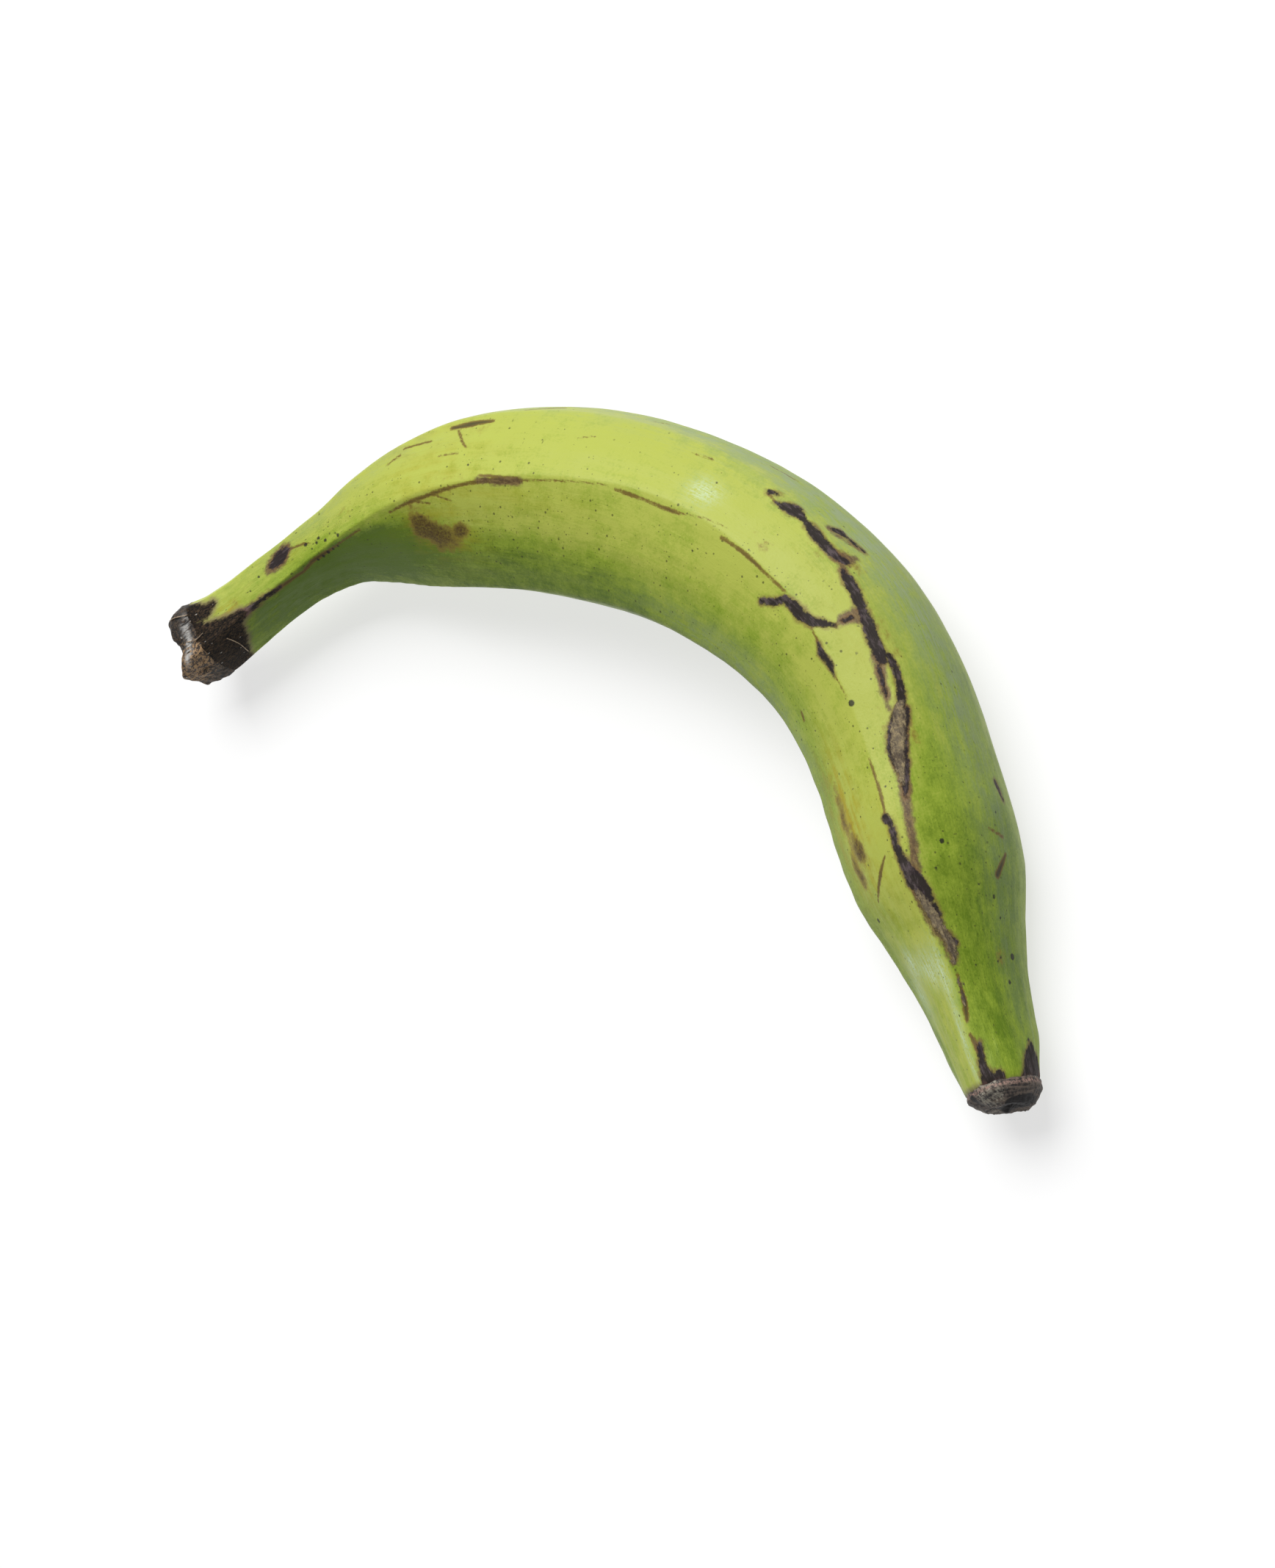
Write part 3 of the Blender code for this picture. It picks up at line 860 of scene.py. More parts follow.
class SharedGroups:
    """The shader groups that more than one finish uses."""

    def __init__(self) -> None:
        """Builds each group once."""
        self.ragged = self._ragged()
        self.flecks = self._flecks()
        self.grain = self._grain()
        self.bark = self._bark()

    def _ragged(self) -> NodeTree:
        """A mask with an uneven edge from a field that is a half on the mark's edge.

        Returns:
            The group.
        """
        sockets = {"Field": 0.0, "Level": 0.5, "Softness": 0.04, "Ragged": 0.2, "Scale": 1.0}
        bench = GroupBench("ragged edge", sockets, {"Mask": "Float"})
        given = bench.given
        wobble = bench.noise(given["Vector"], given["Scale"], detail=5.0, roughness=0.7)
        moved = bench.add(given["Field"], bench.times(bench.math("SUBTRACT", wobble, 0.5), given["Ragged"]))
        low = bench.math("SUBTRACT", given["Level"], given["Softness"])
        high = bench.add(given["Level"], given["Softness"])
        bench.feed(bench.out["Mask"], bench.step(moved, low, high))
        return bench.tree

    def _flecks(self) -> NodeTree:
        """Scattered small dots: one in some of the cells of a random pattern.

        Returns:
            The group.
        """
        bench = GroupBench("flecks", {"Scale": 0.4, "Size": 0.12, "Share": 0.3}, {"Mask": "Float"})
        given = bench.given
        places = {"Vector": given["Vector"], "Scale": given["Scale"]}
        cells = bench.node("TexVoronoi", places, feature="F1")
        chance = bench.node("SeparateColor", {"Color": cells.outputs["Color"]})
        size = bench.times(given["Size"], bench.add(bench.times(chance.outputs[0], 0.7), 0.3))
        dot = bench.step(cells.outputs["Distance"], size, bench.times(size, 0.4))
        there = bench.math("LESS_THAN", chance.outputs[1], given["Share"])
        bench.feed(bench.out["Mask"], bench.times(dot, there))
        return bench.tree

    def _grain(self) -> NodeTree:
        """Fine grain drawn out along the third axis, from 0 to 1.

        Returns:
            The group.
        """
        bench = GroupBench("long grain", {"Across": 1.0, "Along": 0.1, "Twist": 0.0}, {"Mask": "Float"})
        given = bench.given
        split = bench.node("SeparateXYZ", {0: given["Vector"]}).outputs
        lanes = {axis: bench.times(split[axis], given["Across"]) for axis in (0, 1)}
        lanes[2] = bench.add(bench.times(split[2], given["Along"]), given["Twist"])
        joined = bench.node("CombineXYZ", lanes).outputs[0]
        bench.feed(bench.out["Mask"], bench.noise(joined, 1.0, detail=3.0, roughness=0.6))
        return bench.tree

    def _bark(self) -> NodeTree:
        """Blackened crumbly tissue, with tan crumbs and silvery fibre where they are asked for.

        Returns:
            The group.
        """
        char, brown = Paint(18, 16, 16), Paint(56, 44, 35)
        tan, silver, crumb = Paint(172, 138, 98), Paint(186, 184, 180), Paint(206, 202, 196)
        bench = GroupBench("torn bark", {"Tan": 0.0, "Silver": 0.0}, {"Color": "Color", "Height": "Float"})
        given, place = bench.given, bench.given["Vector"]
        grit = bench.noise(place, 1.5, detail=5.0, roughness=0.75, distortion=0.4)
        lump = bench.noise(place, 0.5, detail=3.0, roughness=0.6)
        fibre = bench.use(self.grain, vector=place, across=1.8, along=0.4)
        crust = bench.add(bench.times(lump, 0.5), bench.times(grit, 0.5), bench.times(given["Tan"], 0.12))
        colour = bench.blend(bench.step(crust, 0.50, 0.66), char, brown)
        colour = bench.blend(bench.times(given["Tan"], bench.step(grit, 0.46, 0.58)), colour, tan)
        colour = bench.blend(bench.times(given["Silver"], bench.step(fibre, 0.34, 0.62)), colour, silver)
        bits = bench.use(self.flecks, vector=place, scale=0.75, size=0.30, share=0.16)
        bench.feed(bench.out["Color"], bench.blend(bench.times(bits, 0.8), colour, crumb))
        bench.feed(bench.out["Height"], bench.add(bench.times(grit, 0.7), bench.times(fibre, 0.3)))
        return bench.tree


class FinishBench(Bench):
    """A bench in a new material, with its shader and the coordinates of its patterns in millimetres."""

    place: NodeSocket

    def __init__(self, name: str, shared: SharedGroups) -> None:
        """Makes the material.

        Args:
            name: The material's name.
            shared: The shader groups.
        """
        self.material = bpy.data.materials.new(name)
        self.material.use_nodes = True
        super().__init__(self.material.node_tree)
        self.shader = self.tree.nodes["Principled BSDF"]
        self.shared = shared

    def edged(self, mark: Mark, edge: Edge) -> NodeSocket:
        """The mask of a mark, ending as its edge says."""
        return self.use(self.shared.ragged, vector=self.place, field=self.read(mark), **vars(edge))

    def grain(self, across: float, along: float, twist: float = 0.0) -> NodeSocket:
        """Grain along the fruit."""
        return self.use(self.shared.grain, vector=self.place, across=across, along=along, twist=twist)

    def relief(self, height: Feed, depth_mm: float) -> None:
        """Adds fine relief to the shader, from a height of 0 to 1."""
        bump = self.node("Bump", {"Strength": 1.0, "Distance": depth_mm * MM, "Height": height})
        self.feed(self.shader.inputs["Normal"], bump.outputs["Normal"])


@dataclass(frozen=True)
class Finish:
    """What every finish has: a name, a base roughness and the depth of its finest relief."""

    name: str
    roughness: float
    relief_mm: float

    def material(self, shared: SharedGroups) -> Material:
        """Builds the material.

        Args:
            shared: The shader groups.

        Returns:
            The material.
        """
        bench = FinishBench(self.name, shared)
        bench.place = self.coordinates(bench)
        colour, roughness, height = self.mix(bench)
        bench.feed(bench.shader.inputs["Base Color"], colour)
        bench.feed(bench.shader.inputs["Roughness"], roughness)
        bench.relief(height, self.relief_mm)
        return bench.material

    def coordinates(self, bench: FinishBench) -> NodeSocket:
        """Where each place would be on the straight fruit."""
        return bench.read(Mark.UNBENT, "Vector")

    def mix(self, bench: FinishBench) -> tuple[Feed, Feed, Feed]:
        """Works out the finish's colour, roughness and height, which each finish does its own way."""
        raise NotImplementedError


@dataclass(frozen=True)
class PeelFinish(Finish):
    """Waxy green peel with dry scars along its ridges."""

    name: str = "green peel"
    roughness: float = 0.42
    relief_mm: float = 0.18
    dusty_roughness: float = 0.58
    dead_roughness: float = 0.66
    # Lime, leaf and moss are mixed by the depth of green, which is partly painted shade.
    lime: Paint = Paint(172, 181, 80)
    leaf: Paint = Paint(138, 159, 52)
    moss: Paint = Paint(91, 117, 24)
    scar_dark: Paint = Paint(36, 30, 34)
    scar_light: Paint = Paint(84, 73, 77)
    scar_rim: Paint = Paint(118, 90, 58)
    band_brown: Paint = Paint(90, 72, 50)
    band_pale: Paint = Paint(126, 106, 68)
    thread_thin: Paint = Paint(112, 88, 40)
    thread_thick: Paint = Paint(60, 44, 36)
    scab_tan: Paint = Paint(152, 136, 102)
    scab_grey: Paint = Paint(106, 95, 78)
    scab_dark: Paint = Paint(64, 54, 47)
    stain_light: Paint = Paint(138, 116, 50)
    stain_dark: Paint = Paint(76, 57, 33)
    rust: Paint = Paint(166, 154, 44)
    # Pale of the waxy patches, partly a painted highlight.
    bloom_and_highlight: Paint = Paint(196, 216, 184)
    # Grey-green of the dusting, partly a painted sheen.
    dust_and_sheen: Paint = Paint(150, 164, 128)
    dry_fringe: Paint = Paint(116, 88, 82)
    speck: Paint = Paint(62, 62, 32)
    stain_edge: Edge = Edge(0.42, 0.2, 1.3, 0.5)
    stain_core: Edge = Edge(0.66, 0.3, 1.2, 0.5)
    thread_edge: Edge = Edge(0.5, 0.09, 0.42, 1.3)
    dot_edge: Edge = Edge(0.5, 0.07, 0.12, 1.6)
    band_edge: Edge = Edge(0.47, 0.12, 0.6, 0.6)
    rim_edge: Edge = Edge(0.41, 0.12, 0.6, 0.4)
    scar_edge: Edge = Edge(0.5, 0.06, 0.46, 0.7)
    scab_edge: Edge = Edge(0.5, 0.06, 0.6, 0.8)
    fringe_edge: Edge = Edge(0.42, 0.12, 0.3, 0.4)
    dry_edge: Edge = Edge(0.53, 0.06, 0.34, 0.6)

    def mix(self, bench: FinishBench) -> tuple[Feed, Feed, Feed]:
        """Lays the marks over the greens, from the softest to the driest.

        Args:
            bench: The material's bench.

        Returns:
            The colour, the roughness and the height.
        """
        place = bench.place
        patchy = bench.noise(place, 0.24, detail=4.0, roughness=0.65)
        fine = bench.noise(place, 1.7, detail=4.0, roughness=0.7)
        thin = bench.grain(across=2.2, along=0.2, twist=7.0)
        corked = bench.grain(across=1.5, along=0.45, twist=3.0)
        flakes = bench.noise(place, 0.9, detail=5.0, roughness=0.75, distortion=0.3)
        bark = bench.use_all(bench.shared.bark, vector=place, tan=0.12, silver=0.0)

        thread = bench.edged(Mark.THREAD, self.thread_edge)
        scar = bench.edged(Mark.SCAR, self.scar_edge)
        scab = bench.edged(Mark.SCAB, self.scab_edge)
        dry = bench.edged(Mark.DRY, self.dry_edge)
        core = bench.times(bench.edged(Mark.STAIN, self.stain_core), bench.step(fine, 0.85, 0.3))
        thick = bench.step(bench.read(Mark.THREAD), 0.52, 0.78)
        soft = bench.step(bench.add(fine, corked), 0.85, 1.2)
        streaks = bench.add(patchy, corked)
        flaky = bench.blend(bench.step(flakes, 0.42, 0.64), self.scab_grey, self.scab_tan)
        flaky = bench.blend(bench.times(bench.step(streaks, 1.06, 0.84), 0.75), flaky, self.scab_dark)

        layers = (
            (bench.times(bench.edged(Mark.STAIN, self.stain_edge), 0.75), self.stain_light),
            (core, self.stain_dark),
            (bench.times(thread, 0.9), bench.blend(thick, self.thread_thin, self.thread_thick)),
            (bench.times(bench.edged(Mark.DOT, self.dot_edge), 0.9), self.scar_dark),
            (
                bench.times(bench.edged(Mark.BAND, self.band_edge), 0.94),
                bench.blend(soft, self.band_brown, self.band_pale),
            ),
            (bench.times(bench.edged(Mark.SCAR, self.rim_edge), 0.7), self.scar_rim),
            (
                bench.times(scar, 0.96),
                bench.blend(bench.step(streaks, 0.98, 1.26), self.scar_dark, self.scar_light),
            ),
            (scab, flaky),
            (bench.times(bench.edged(Mark.DRY, self.fringe_edge), 0.7), self.dry_fringe),
            (dry, bark["Color"]),
        )
        colour = self._specks(bench, self._greens(bench, patchy, fine, thin))
        for amount, paint in layers:
            colour = bench.blend(amount, colour, paint)

        dead = bench.math("MAXIMUM", bench.math("MAXIMUM", scar, scab), dry)
        gloss = bench.add(self.roughness, bench.about(fine, 0.14), bench.about(patchy, 0.10))
        gloss = bench.between(bench.read(Mark.DUST), gloss, self.dusty_roughness)
        bench.feed(bench.shader.inputs["Specular IOR Level"], 0.2)
        bench.feed(bench.shader.inputs["IOR"], 1.45)
        height = bench.add(
            bench.times(fine, 0.28),
            bench.times(thin, 0.22),
            bench.times(patchy, 0.5),
            bench.times(bench.times(scab, flakes), 1.3),
            bench.times(bench.times(scar, corked), 0.9),
            bench.times(bench.times(dry, bark["Height"]), 2.4),
            bench.times(thread, -0.2),
        )
        return colour, bench.between(dead, gloss, self.dead_roughness), height

    def _greens(self, bench: FinishBench, patchy: Feed, fine: Feed, thin: Feed) -> NodeSocket:
        """The peel's greens, darkened partly as painted shade, with its yellowing, its dusting and painted
        sheen near the outline, and its waxy patches and painted highlight.

        Args:
            bench: The material's bench.
            patchy: Noise a few millimetres wide.
            fine: Noise under a millimetre wide.
            thin: Grain along the fruit.

        Returns:
            The colour.
        """
        broad = bench.noise(bench.place, 0.05)
        long = bench.grain(across=0.5, along=0.045)
        uneven = ((broad, 0.6), (patchy, 1.0), (long, 0.4), (thin, 0.4), (fine, 0.8))
        # Darkening of the green, partly the peel's own colour and partly painted shade.
        deep_green_and_shade = bench.add(bench.read(Mark.DEEP), *[bench.about(*pair) for pair in uneven])
        colour = bench.blend(bench.math("MULTIPLY", deep_green_and_shade, 2.0, clamp=True), self.lime, self.leaf)
        colour = bench.blend(bench.add(bench.times(deep_green_and_shade, 2.0), -1.0), colour, self.moss)
        rust = bench.times(bench.read(Mark.RUST), bench.step(bench.add(long, patchy), 0.8, 1.3))
        colour = bench.blend(bench.times(rust, 0.9), colour, self.rust)
        # Grey-green dusting, partly a painted sheen where the peel turns away near its outline.
        dust_and_sheen = bench.times(bench.read(Mark.DUST), bench.step(bench.add(thin, patchy), 0.7, 1.25))
        colour = bench.blend(dust_and_sheen, colour, self.dust_and_sheen)
        # Pale waxy patches, partly a painted highlight along the ridge near the tip.
        bloom_and_highlight = bench.times(bench.read(Mark.BLOOM), bench.step(bench.add(thin, fine), 0.75, 1.2))
        return bench.blend(bench.times(bloom_and_highlight, 0.7), colour, self.bloom_and_highlight)

    def _specks(self, bench: FinishBench, colour: NodeSocket) -> NodeSocket:
        """Scatters small dark specks and short strokes over the peel.

        Args:
            bench: The material's bench.
            colour: The colour under them.

        Returns:
            The colour with them.
        """
        many = bench.read(Mark.SPECK)
        share = bench.add(bench.times(many, 0.45), 0.07)
        crossing = bench.stretched(bench.place, (0.35, 0.35, 1.0))
        layers = (
            (bench.place, 0.6, 0.26, share, 0.75),
            (bench.place, 1.2, 0.30, share, 0.55),
            (crossing, 1.0, 0.26, bench.times(many, 0.2), 0.5),
        )
        for place, scale, size, some, strength in layers:
            specks = bench.use(bench.shared.flecks, vector=place, scale=scale, size=size, share=some)
            colour = bench.blend(bench.times(specks, strength), colour, self.speck)
        return colour


@dataclass(frozen=True)
class TornStemFinish(Finish):
    """Blackened, fibrous tissue where the stem was torn off the bunch."""

    name: str = "torn stem"
    roughness: float = 0.62
    relief_mm: float = 0.5
    glossy_roughness: float = 0.48

    def mix(self, bench: FinishBench) -> tuple[Feed, Feed, Feed]:
        """Takes all from the shared bark, with its smoother places.

        Args:
            bench: The material's bench.

        Returns:
            The colour, the roughness and the height.
        """
        tan, silver = bench.read(Mark.TAN), bench.read(Mark.SILVER)
        bark = bench.use_all(bench.shared.bark, vector=bench.place, tan=tan, silver=silver)
        gloss = bench.between(bench.read(Mark.GLOSS), self.roughness, self.glossy_roughness)
        return bark["Color"], bench.add(gloss, bench.about(bark["Height"], 0.2)), bark["Height"]


@dataclass(frozen=True)
class TipCapFinish(Finish):
    """The dry woody ring round the flower's scar."""

    name: str = "dry tip cap"
    roughness: float = 0.7
    relief_mm: float = 0.45
    wood: Paint = Paint(100, 88, 77)
    pale: Paint = Paint(152, 147, 133)
    rim: Paint = Paint(146, 116, 104)
    dark: Paint = Paint(36, 30, 29)
    hollow: Paint = Paint(17, 14, 15)
    flake_edge: Edge = Edge(0.5, 0.16, 1.8, 1.6)
    hollow_edge: Edge = Edge(0.5, 0.08, 0.4, 0.9)

    def mix(self, bench: FinishBench) -> tuple[Feed, Feed, Feed]:
        """Lays pale flakes, the pinkish rim and the black hollow over ringed wood.

        Args:
            bench: The material's bench.

        Returns:
            The colour, the roughness and the height.
        """
        grit = bench.noise(bench.place, 1.5, detail=4.0, roughness=0.65)
        across = bench.stretched(bench.place, (0.25, 0.25, 2.2))
        rings = bench.noise(across, 1.0, detail=3.0, distortion=0.4)
        speckle = bench.use(bench.shared.flecks, vector=bench.place, scale=1.5, size=0.5, share=0.7)
        flakes = bench.add(bench.times(speckle, 0.6), bench.step(grit, 0.42, 0.6))
        flaked = bench.times(bench.edged(Mark.FLAKE, self.flake_edge), flakes)
        colour = bench.blend(bench.step(bench.add(rings, grit), 0.82, 1.16), self.dark, self.wood)
        colour = bench.blend(bench.times(flaked, 0.8), colour, self.pale)
        rimmed = bench.times(bench.read(Mark.RIM), bench.step(grit, 0.42, 0.58))
        colour = bench.blend(rimmed, colour, self.rim)
        colour = bench.blend(bench.edged(Mark.HOLLOW, self.hollow_edge), colour, self.hollow)
        height = bench.add(bench.times(grit, 0.5), bench.times(rings, 0.8))
        return colour, bench.add(self.roughness, bench.about(grit, 0.2)), height


@dataclass(frozen=True)
class FibreFinish(Finish):
    """Dry pale fibre."""

    name: str = "dry fibre"
    roughness: float = 0.6
    relief_mm: float = 0.05
    straw: Paint = Paint(178, 158, 132)
    brown: Paint = Paint(104, 84, 66)

    def coordinates(self, bench: FinishBench) -> NodeSocket:
        """The fibres carry no attributes, so their patterns lie on their own places in millimetres."""
        return bench.stretched(bench.node("TexCoord", {}).outputs["Object"], (1 / MM,) * 3)

    def mix(self, bench: FinishBench) -> tuple[Feed, Feed, Feed]:
        """Grain from brown to straw.

        Args:
            bench: The material's bench.

        Returns:
            The colour, the roughness and the height.
        """
        grain = bench.grain(across=1.2, along=1.2)
        colour = bench.blend(bench.step(grain, 0.3, 0.7), self.brown, self.straw)
        return colour, bench.add(self.roughness, bench.about(grain, 0.2)), grain


@dataclass
class Piece:
    """A piece of the fruit, shaped on its form."""

    form: FruitForm

    def build(self, finish: Finish, shared: SharedGroups) -> Object:
        """Shapes and dresses the piece.

        Args:
            finish: Its finish.
            shared: The shader groups.

        Returns:
            The piece.
        """
        made = self.shape()
        made.data.materials.append(finish.material(shared))
        return made

    def shape(self) -> Object:
        """Shapes the piece, which each kind does its own way."""
        raise NotImplementedError


@dataclass
class Peel(Piece):
    """The green peel from the torn stem to the tip cap."""

    marks: PeelMarks
    around: int = 196
    along: int = 490
    first: float = 5.0
    last: float = 328.6
    fullest: float = radians(95)
    crowding: float = 0.36
    straight_mm: float = 22.0
    line_reach: float = 1.2
    scar_reach: float = 2.4
    dry_reach: float = 4.0
    reliefs: tuple[Relief, ...] = (
        Relief(0.22, 14.0, 0.0, (1.0, 1.0, 0.45)),
        Relief(0.08, 5.0, 3.0),
        Relief(0.10, 3.0, 8.0, (1.0, 1.0, 0.2)),
    )
    crumbs: Relief = Relief(1.0, 1.2, 5.0)
    scar_depth_mm: float = 0.10
    scab_height_mm: float = 0.12
    raised_from: float = 0.45
    raised_slope: float = 5.0
    first_tuck_mm: float = 0.5
    first_tuck_length: float = 2.5
    last_tuck_mm: float = 0.4
    last_tuck_length: float = 0.9

    def shape(self) -> Object:
        """Shapes the peel, with more of its vertices near the top.

        Returns:
            The piece.
        """
        sheet = Rolled(self.around, self.along)
        turn = 2 * pi * (sheet.u - 0.5)
        station = self.first + (self.last - self.first) * sheet.v
        at = Places(self.form, station, self.fullest + turn - self.crowding * np.sin(turn))
        values = self._values(at)
        places = self.form.side(station, at.angle, self._lift_mm(station, values))
        return sheet.finish("plantain_skin", places, values)

    def _values(self, at: Places) -> dict[Mark, Array]:
        """The peel's attributes.

        Args:
            at: Its vertices' places.

        Returns:
            The values of each mark at each vertex.
        """
        marks = self.marks
        return {
            Mark.UNBENT: at.unbent(self.straight_mm),
            Mark.SCAR: field_of(marks.scars, at, self.scar_reach),
            Mark.THREAD: field_of(marks.threads, at, self.line_reach),
            Mark.DOT: field_of(marks.dots, at, self.line_reach),
            Mark.SCAB: field_of(marks.scabs, at, self.scar_reach),
            Mark.BAND: field_of(marks.bands, at, self.scar_reach),
            Mark.DRY: field_of(marks.dry_ends, at, self.dry_reach),
            Mark.STAIN: amounts(marks.stains, at),
            Mark.RUST: amounts(marks.rust, at),
            Mark.BLOOM: amounts(marks.bloom_and_highlight, at),
            Mark.DUST: amounts(marks.dust_and_sheen, at),
            Mark.DEEP: marks.depth_of_green(at),
            Mark.SPECK: amounts(marks.specks, at),
        }

    def _lift_mm(self, station: Array, values: dict[Mark, Array]) -> Array:
        """How far the peel stands off the form. Its two ends are tucked in under the other pieces.

        Args:
            station: Distances along the middle line.
            values: The peel's attributes.

        Returns:
            The height in millimetres.
        """
        straight = values[Mark.UNBENT]
        scar = smoothstep((values[Mark.SCAR] - self.raised_from) * self.raised_slope)
        scab = smoothstep((values[Mark.SCAB] - self.raised_from) * self.raised_slope)
        lift = sum(relief.at(straight) for relief in self.reliefs)
        lift += self.scab_height_mm * scab * (1 + self.crumbs.at(straight)) - self.scar_depth_mm * scar
        lift -= self.first_tuck_mm * smoothstep(1 - (station - self.first) / self.first_tuck_length)
        return lift - self.last_tuck_mm * smoothstep(1 - (self.last - station) / self.last_tuck_length)


@dataclass
class FruitEnd(Piece):
    """An end of the fruit, from the middle of its face out and along its side.

    The edge is the face's share of the grid, and the limit the station where the side
    stops. There the side is tucked in under the peel.
    """

    name: str
    end: End
    limit: float
    edge: float
    straight_mm: float
    reliefs: tuple[Relief, ...]
    tuck_mm: float
    tuck_length: float
    fade_length: float = 0.0
    sunk_mm: float = 0.0
    stands_mm: float = 0.12
    pole: float = 0.12
    around: int = 150
    along: int = 84
    merge: float = 2e-6

    def shape(self) -> Object:
        """Shapes the end.

        Returns:
            The piece.
        """
        sheet = Rolled(self.around, self.along)
        on_face = sheet.v < self.edge
        share = np.clip(sheet.v / self.edge, 0, 1)
        beyond = np.clip((sheet.v - self.edge) / (1 - self.edge), 0, 1)
        start = 0.0 if self.end is End.STEM else self.form.drawn_length
        at = Places(self.form, start + (self.limit - start) * beyond, 2 * pi * sheet.u - pi / 2)
        straight = at.unbent(self.straight_mm)
        straight[:, :2] *= share[:, None]
        values = {Mark.UNBENT: straight, **self.marks_at(at, share, on_face)}

        left = np.abs(self.limit - at.station)
        fade = smoothstep(left / self.fade_length) if self.fade_length else 1.0
        lift = fade * sum(relief.at(straight) for relief in self.reliefs) + self.stands_mm
        lift -= self.tuck_mm * smoothstep(1 - left / self.tuck_length)
        sunk = self.sunk_mm * values.get(Mark.HOLLOW, 0.0)
        face = self.form.face(self.end, share, at.angle, (lift - sunk) * smoothstep(share / self.pole))
        side = self.form.side(at.station, at.angle, lift)
        return sheet.finish(self.name, np.where(on_face[:, None], face, side), values, self.merge)

    def marks_at(self, at: Places, share: Array, on_face: Array) -> dict[Mark, Array]:
        """The end's own attributes, which each end has its own way."""
        raise NotImplementedError


@dataclass
class StemEnd(FruitEnd):
    """The torn end and the blackened start of the neck."""

    name: str = "plantain_stem_end"
    end: End = End.STEM
    limit: float = 9.0
    edge: float = 0.46
    straight_mm: float = 9.5
    reliefs: tuple[Relief, ...] = (
        Relief(0.45, 2.6, 6.0), Relief(0.24, 0.9, 2.0), Relief(0.22, 1.1, 11.0, (1.0, 1.0, 0.25))
    )
    tuck_mm: float = 0.75
    tuck_length: float = 2.2
    fade_length: float = 4.0
    tan: tuple[Spot, ...] = spots(
        (2, 140, 4.0, 4.5, 1.1), (5, 128, 3.5, 3.5, 0.9), (0, 165, 3.5, 4.0, 1.0), (8, 150, 2.5, 3.0, 0.6),
        (3, 250, 3.0, 4.0, 0.8), (1, 320, 3.0, 3.0, 0.6),
    )
    silver: tuple[Spot, ...] = spots(
        (6, 74, 0.8, 1.5, 0.7), (5, 87, 0.9, 2.0, 1.0), (4, 100, 0.9, 2.2, 1.3), (3, 113, 0.9, 2.0, 1.3),
        (2, 126, 0.8, 1.8, 1.0), (3, 290, 3.0, 1.6, 0.7),
    )
    gloss: tuple[Spot, ...] = spots((2, 58, 3.0, 4.5, 1.0), (3, 40, 3.0, 4.0, 0.9))
    least_tan: float = 0.12

    def marks_at(self, at: Places, share: Array, on_face: Array) -> dict[Mark, Array]:
        """Tan crumbs, silvery fibre and glossier places.

        Args:
            at: The vertices' places.
            share: Their distances from the face's middle, as a share of its radius; not used here.
            on_face: Which of them are on the face; not used here.

        Returns:
            The values of each mark at each vertex.
        """
        return {
            Mark.TAN: amounts(self.tan, at) + self.least_tan,
            Mark.SILVER: amounts(self.silver, at),
            Mark.GLOSS: amounts(self.gloss, at),
        }


@dataclass
class TipCap(FruitEnd):
    """The woody ring at the tip and the hollow where the flower was."""

    name: str = "plantain_tip_cap"
    end: End = End.TIP
    limit: float = 327.2
    edge: float = 0.5
    straight_mm: float = 9.0
    reliefs: tuple[Relief, ...] = (Relief(0.22, 1.0, 9.0, (0.35, 0.35, 1.0)), Relief(0.16, 0.8, 4.0))
    tuck_mm: float = 0.55
    tuck_length: float = 1.3
    sunk_mm: float = 0.5
    flakes: tuple[Spot, ...] = spots(
        (328, 100, 2.5, 3.0, 0.9), (330, 80, 2.0, 2.0, 0.5), (327, 150, 3.0, 3.0, 0.5),
        (328, 6, 1.5, 2.0, 0.6), (328, 240, 3.0, 3.0, 0.6), (331.4, 104, 1.8, 2.8, 0.8),
        (333, 170, 1.5, 3.0, 0.6),
    )
    hollows: tuple[Spot, ...] = spots(
        (332.9, 28, 1.5, 3.6, 1.1), (333, 60, 1.0, 2.4, 0.9), (330, 132, 1.6, 1.4, 0.9),
        (331, 350, 1.2, 1.6, 0.5),
    )
    hollow_at: tuple[float, float] = (0.2, 0.2)
    hollow_reach: float = 0.72
    hollow_strength: float = 1.1
    rim_at: float = 328.9
    rim_width: float = 0.5

    def marks_at(self, at: Places, share: Array, on_face: Array) -> dict[Mark, Array]:
        """Pale flakes, the black hollow and the pinkish rim.

        Args:
            at: The vertices' places.
            share: Their distances from the face's middle, as a share of its radius.
            on_face: Which of them are on the face.

        Returns:
            The values of each mark at each vertex.
        """
        across, up = self.hollow_at
        away = np.hypot(share * np.cos(at.angle) - across, share * np.sin(at.angle) - up)
        hollow = np.where(on_face, self.hollow_strength * hill(away, self.hollow_reach), 0.0)
        return {
            Mark.FLAKE: amounts(self.flakes, at),
            Mark.HOLLOW: np.maximum(hollow, amounts(self.hollows, at)),
            Mark.RIM: np.where(on_face, 0.0, hill(at.station - self.rim_at, self.rim_width)),
        }


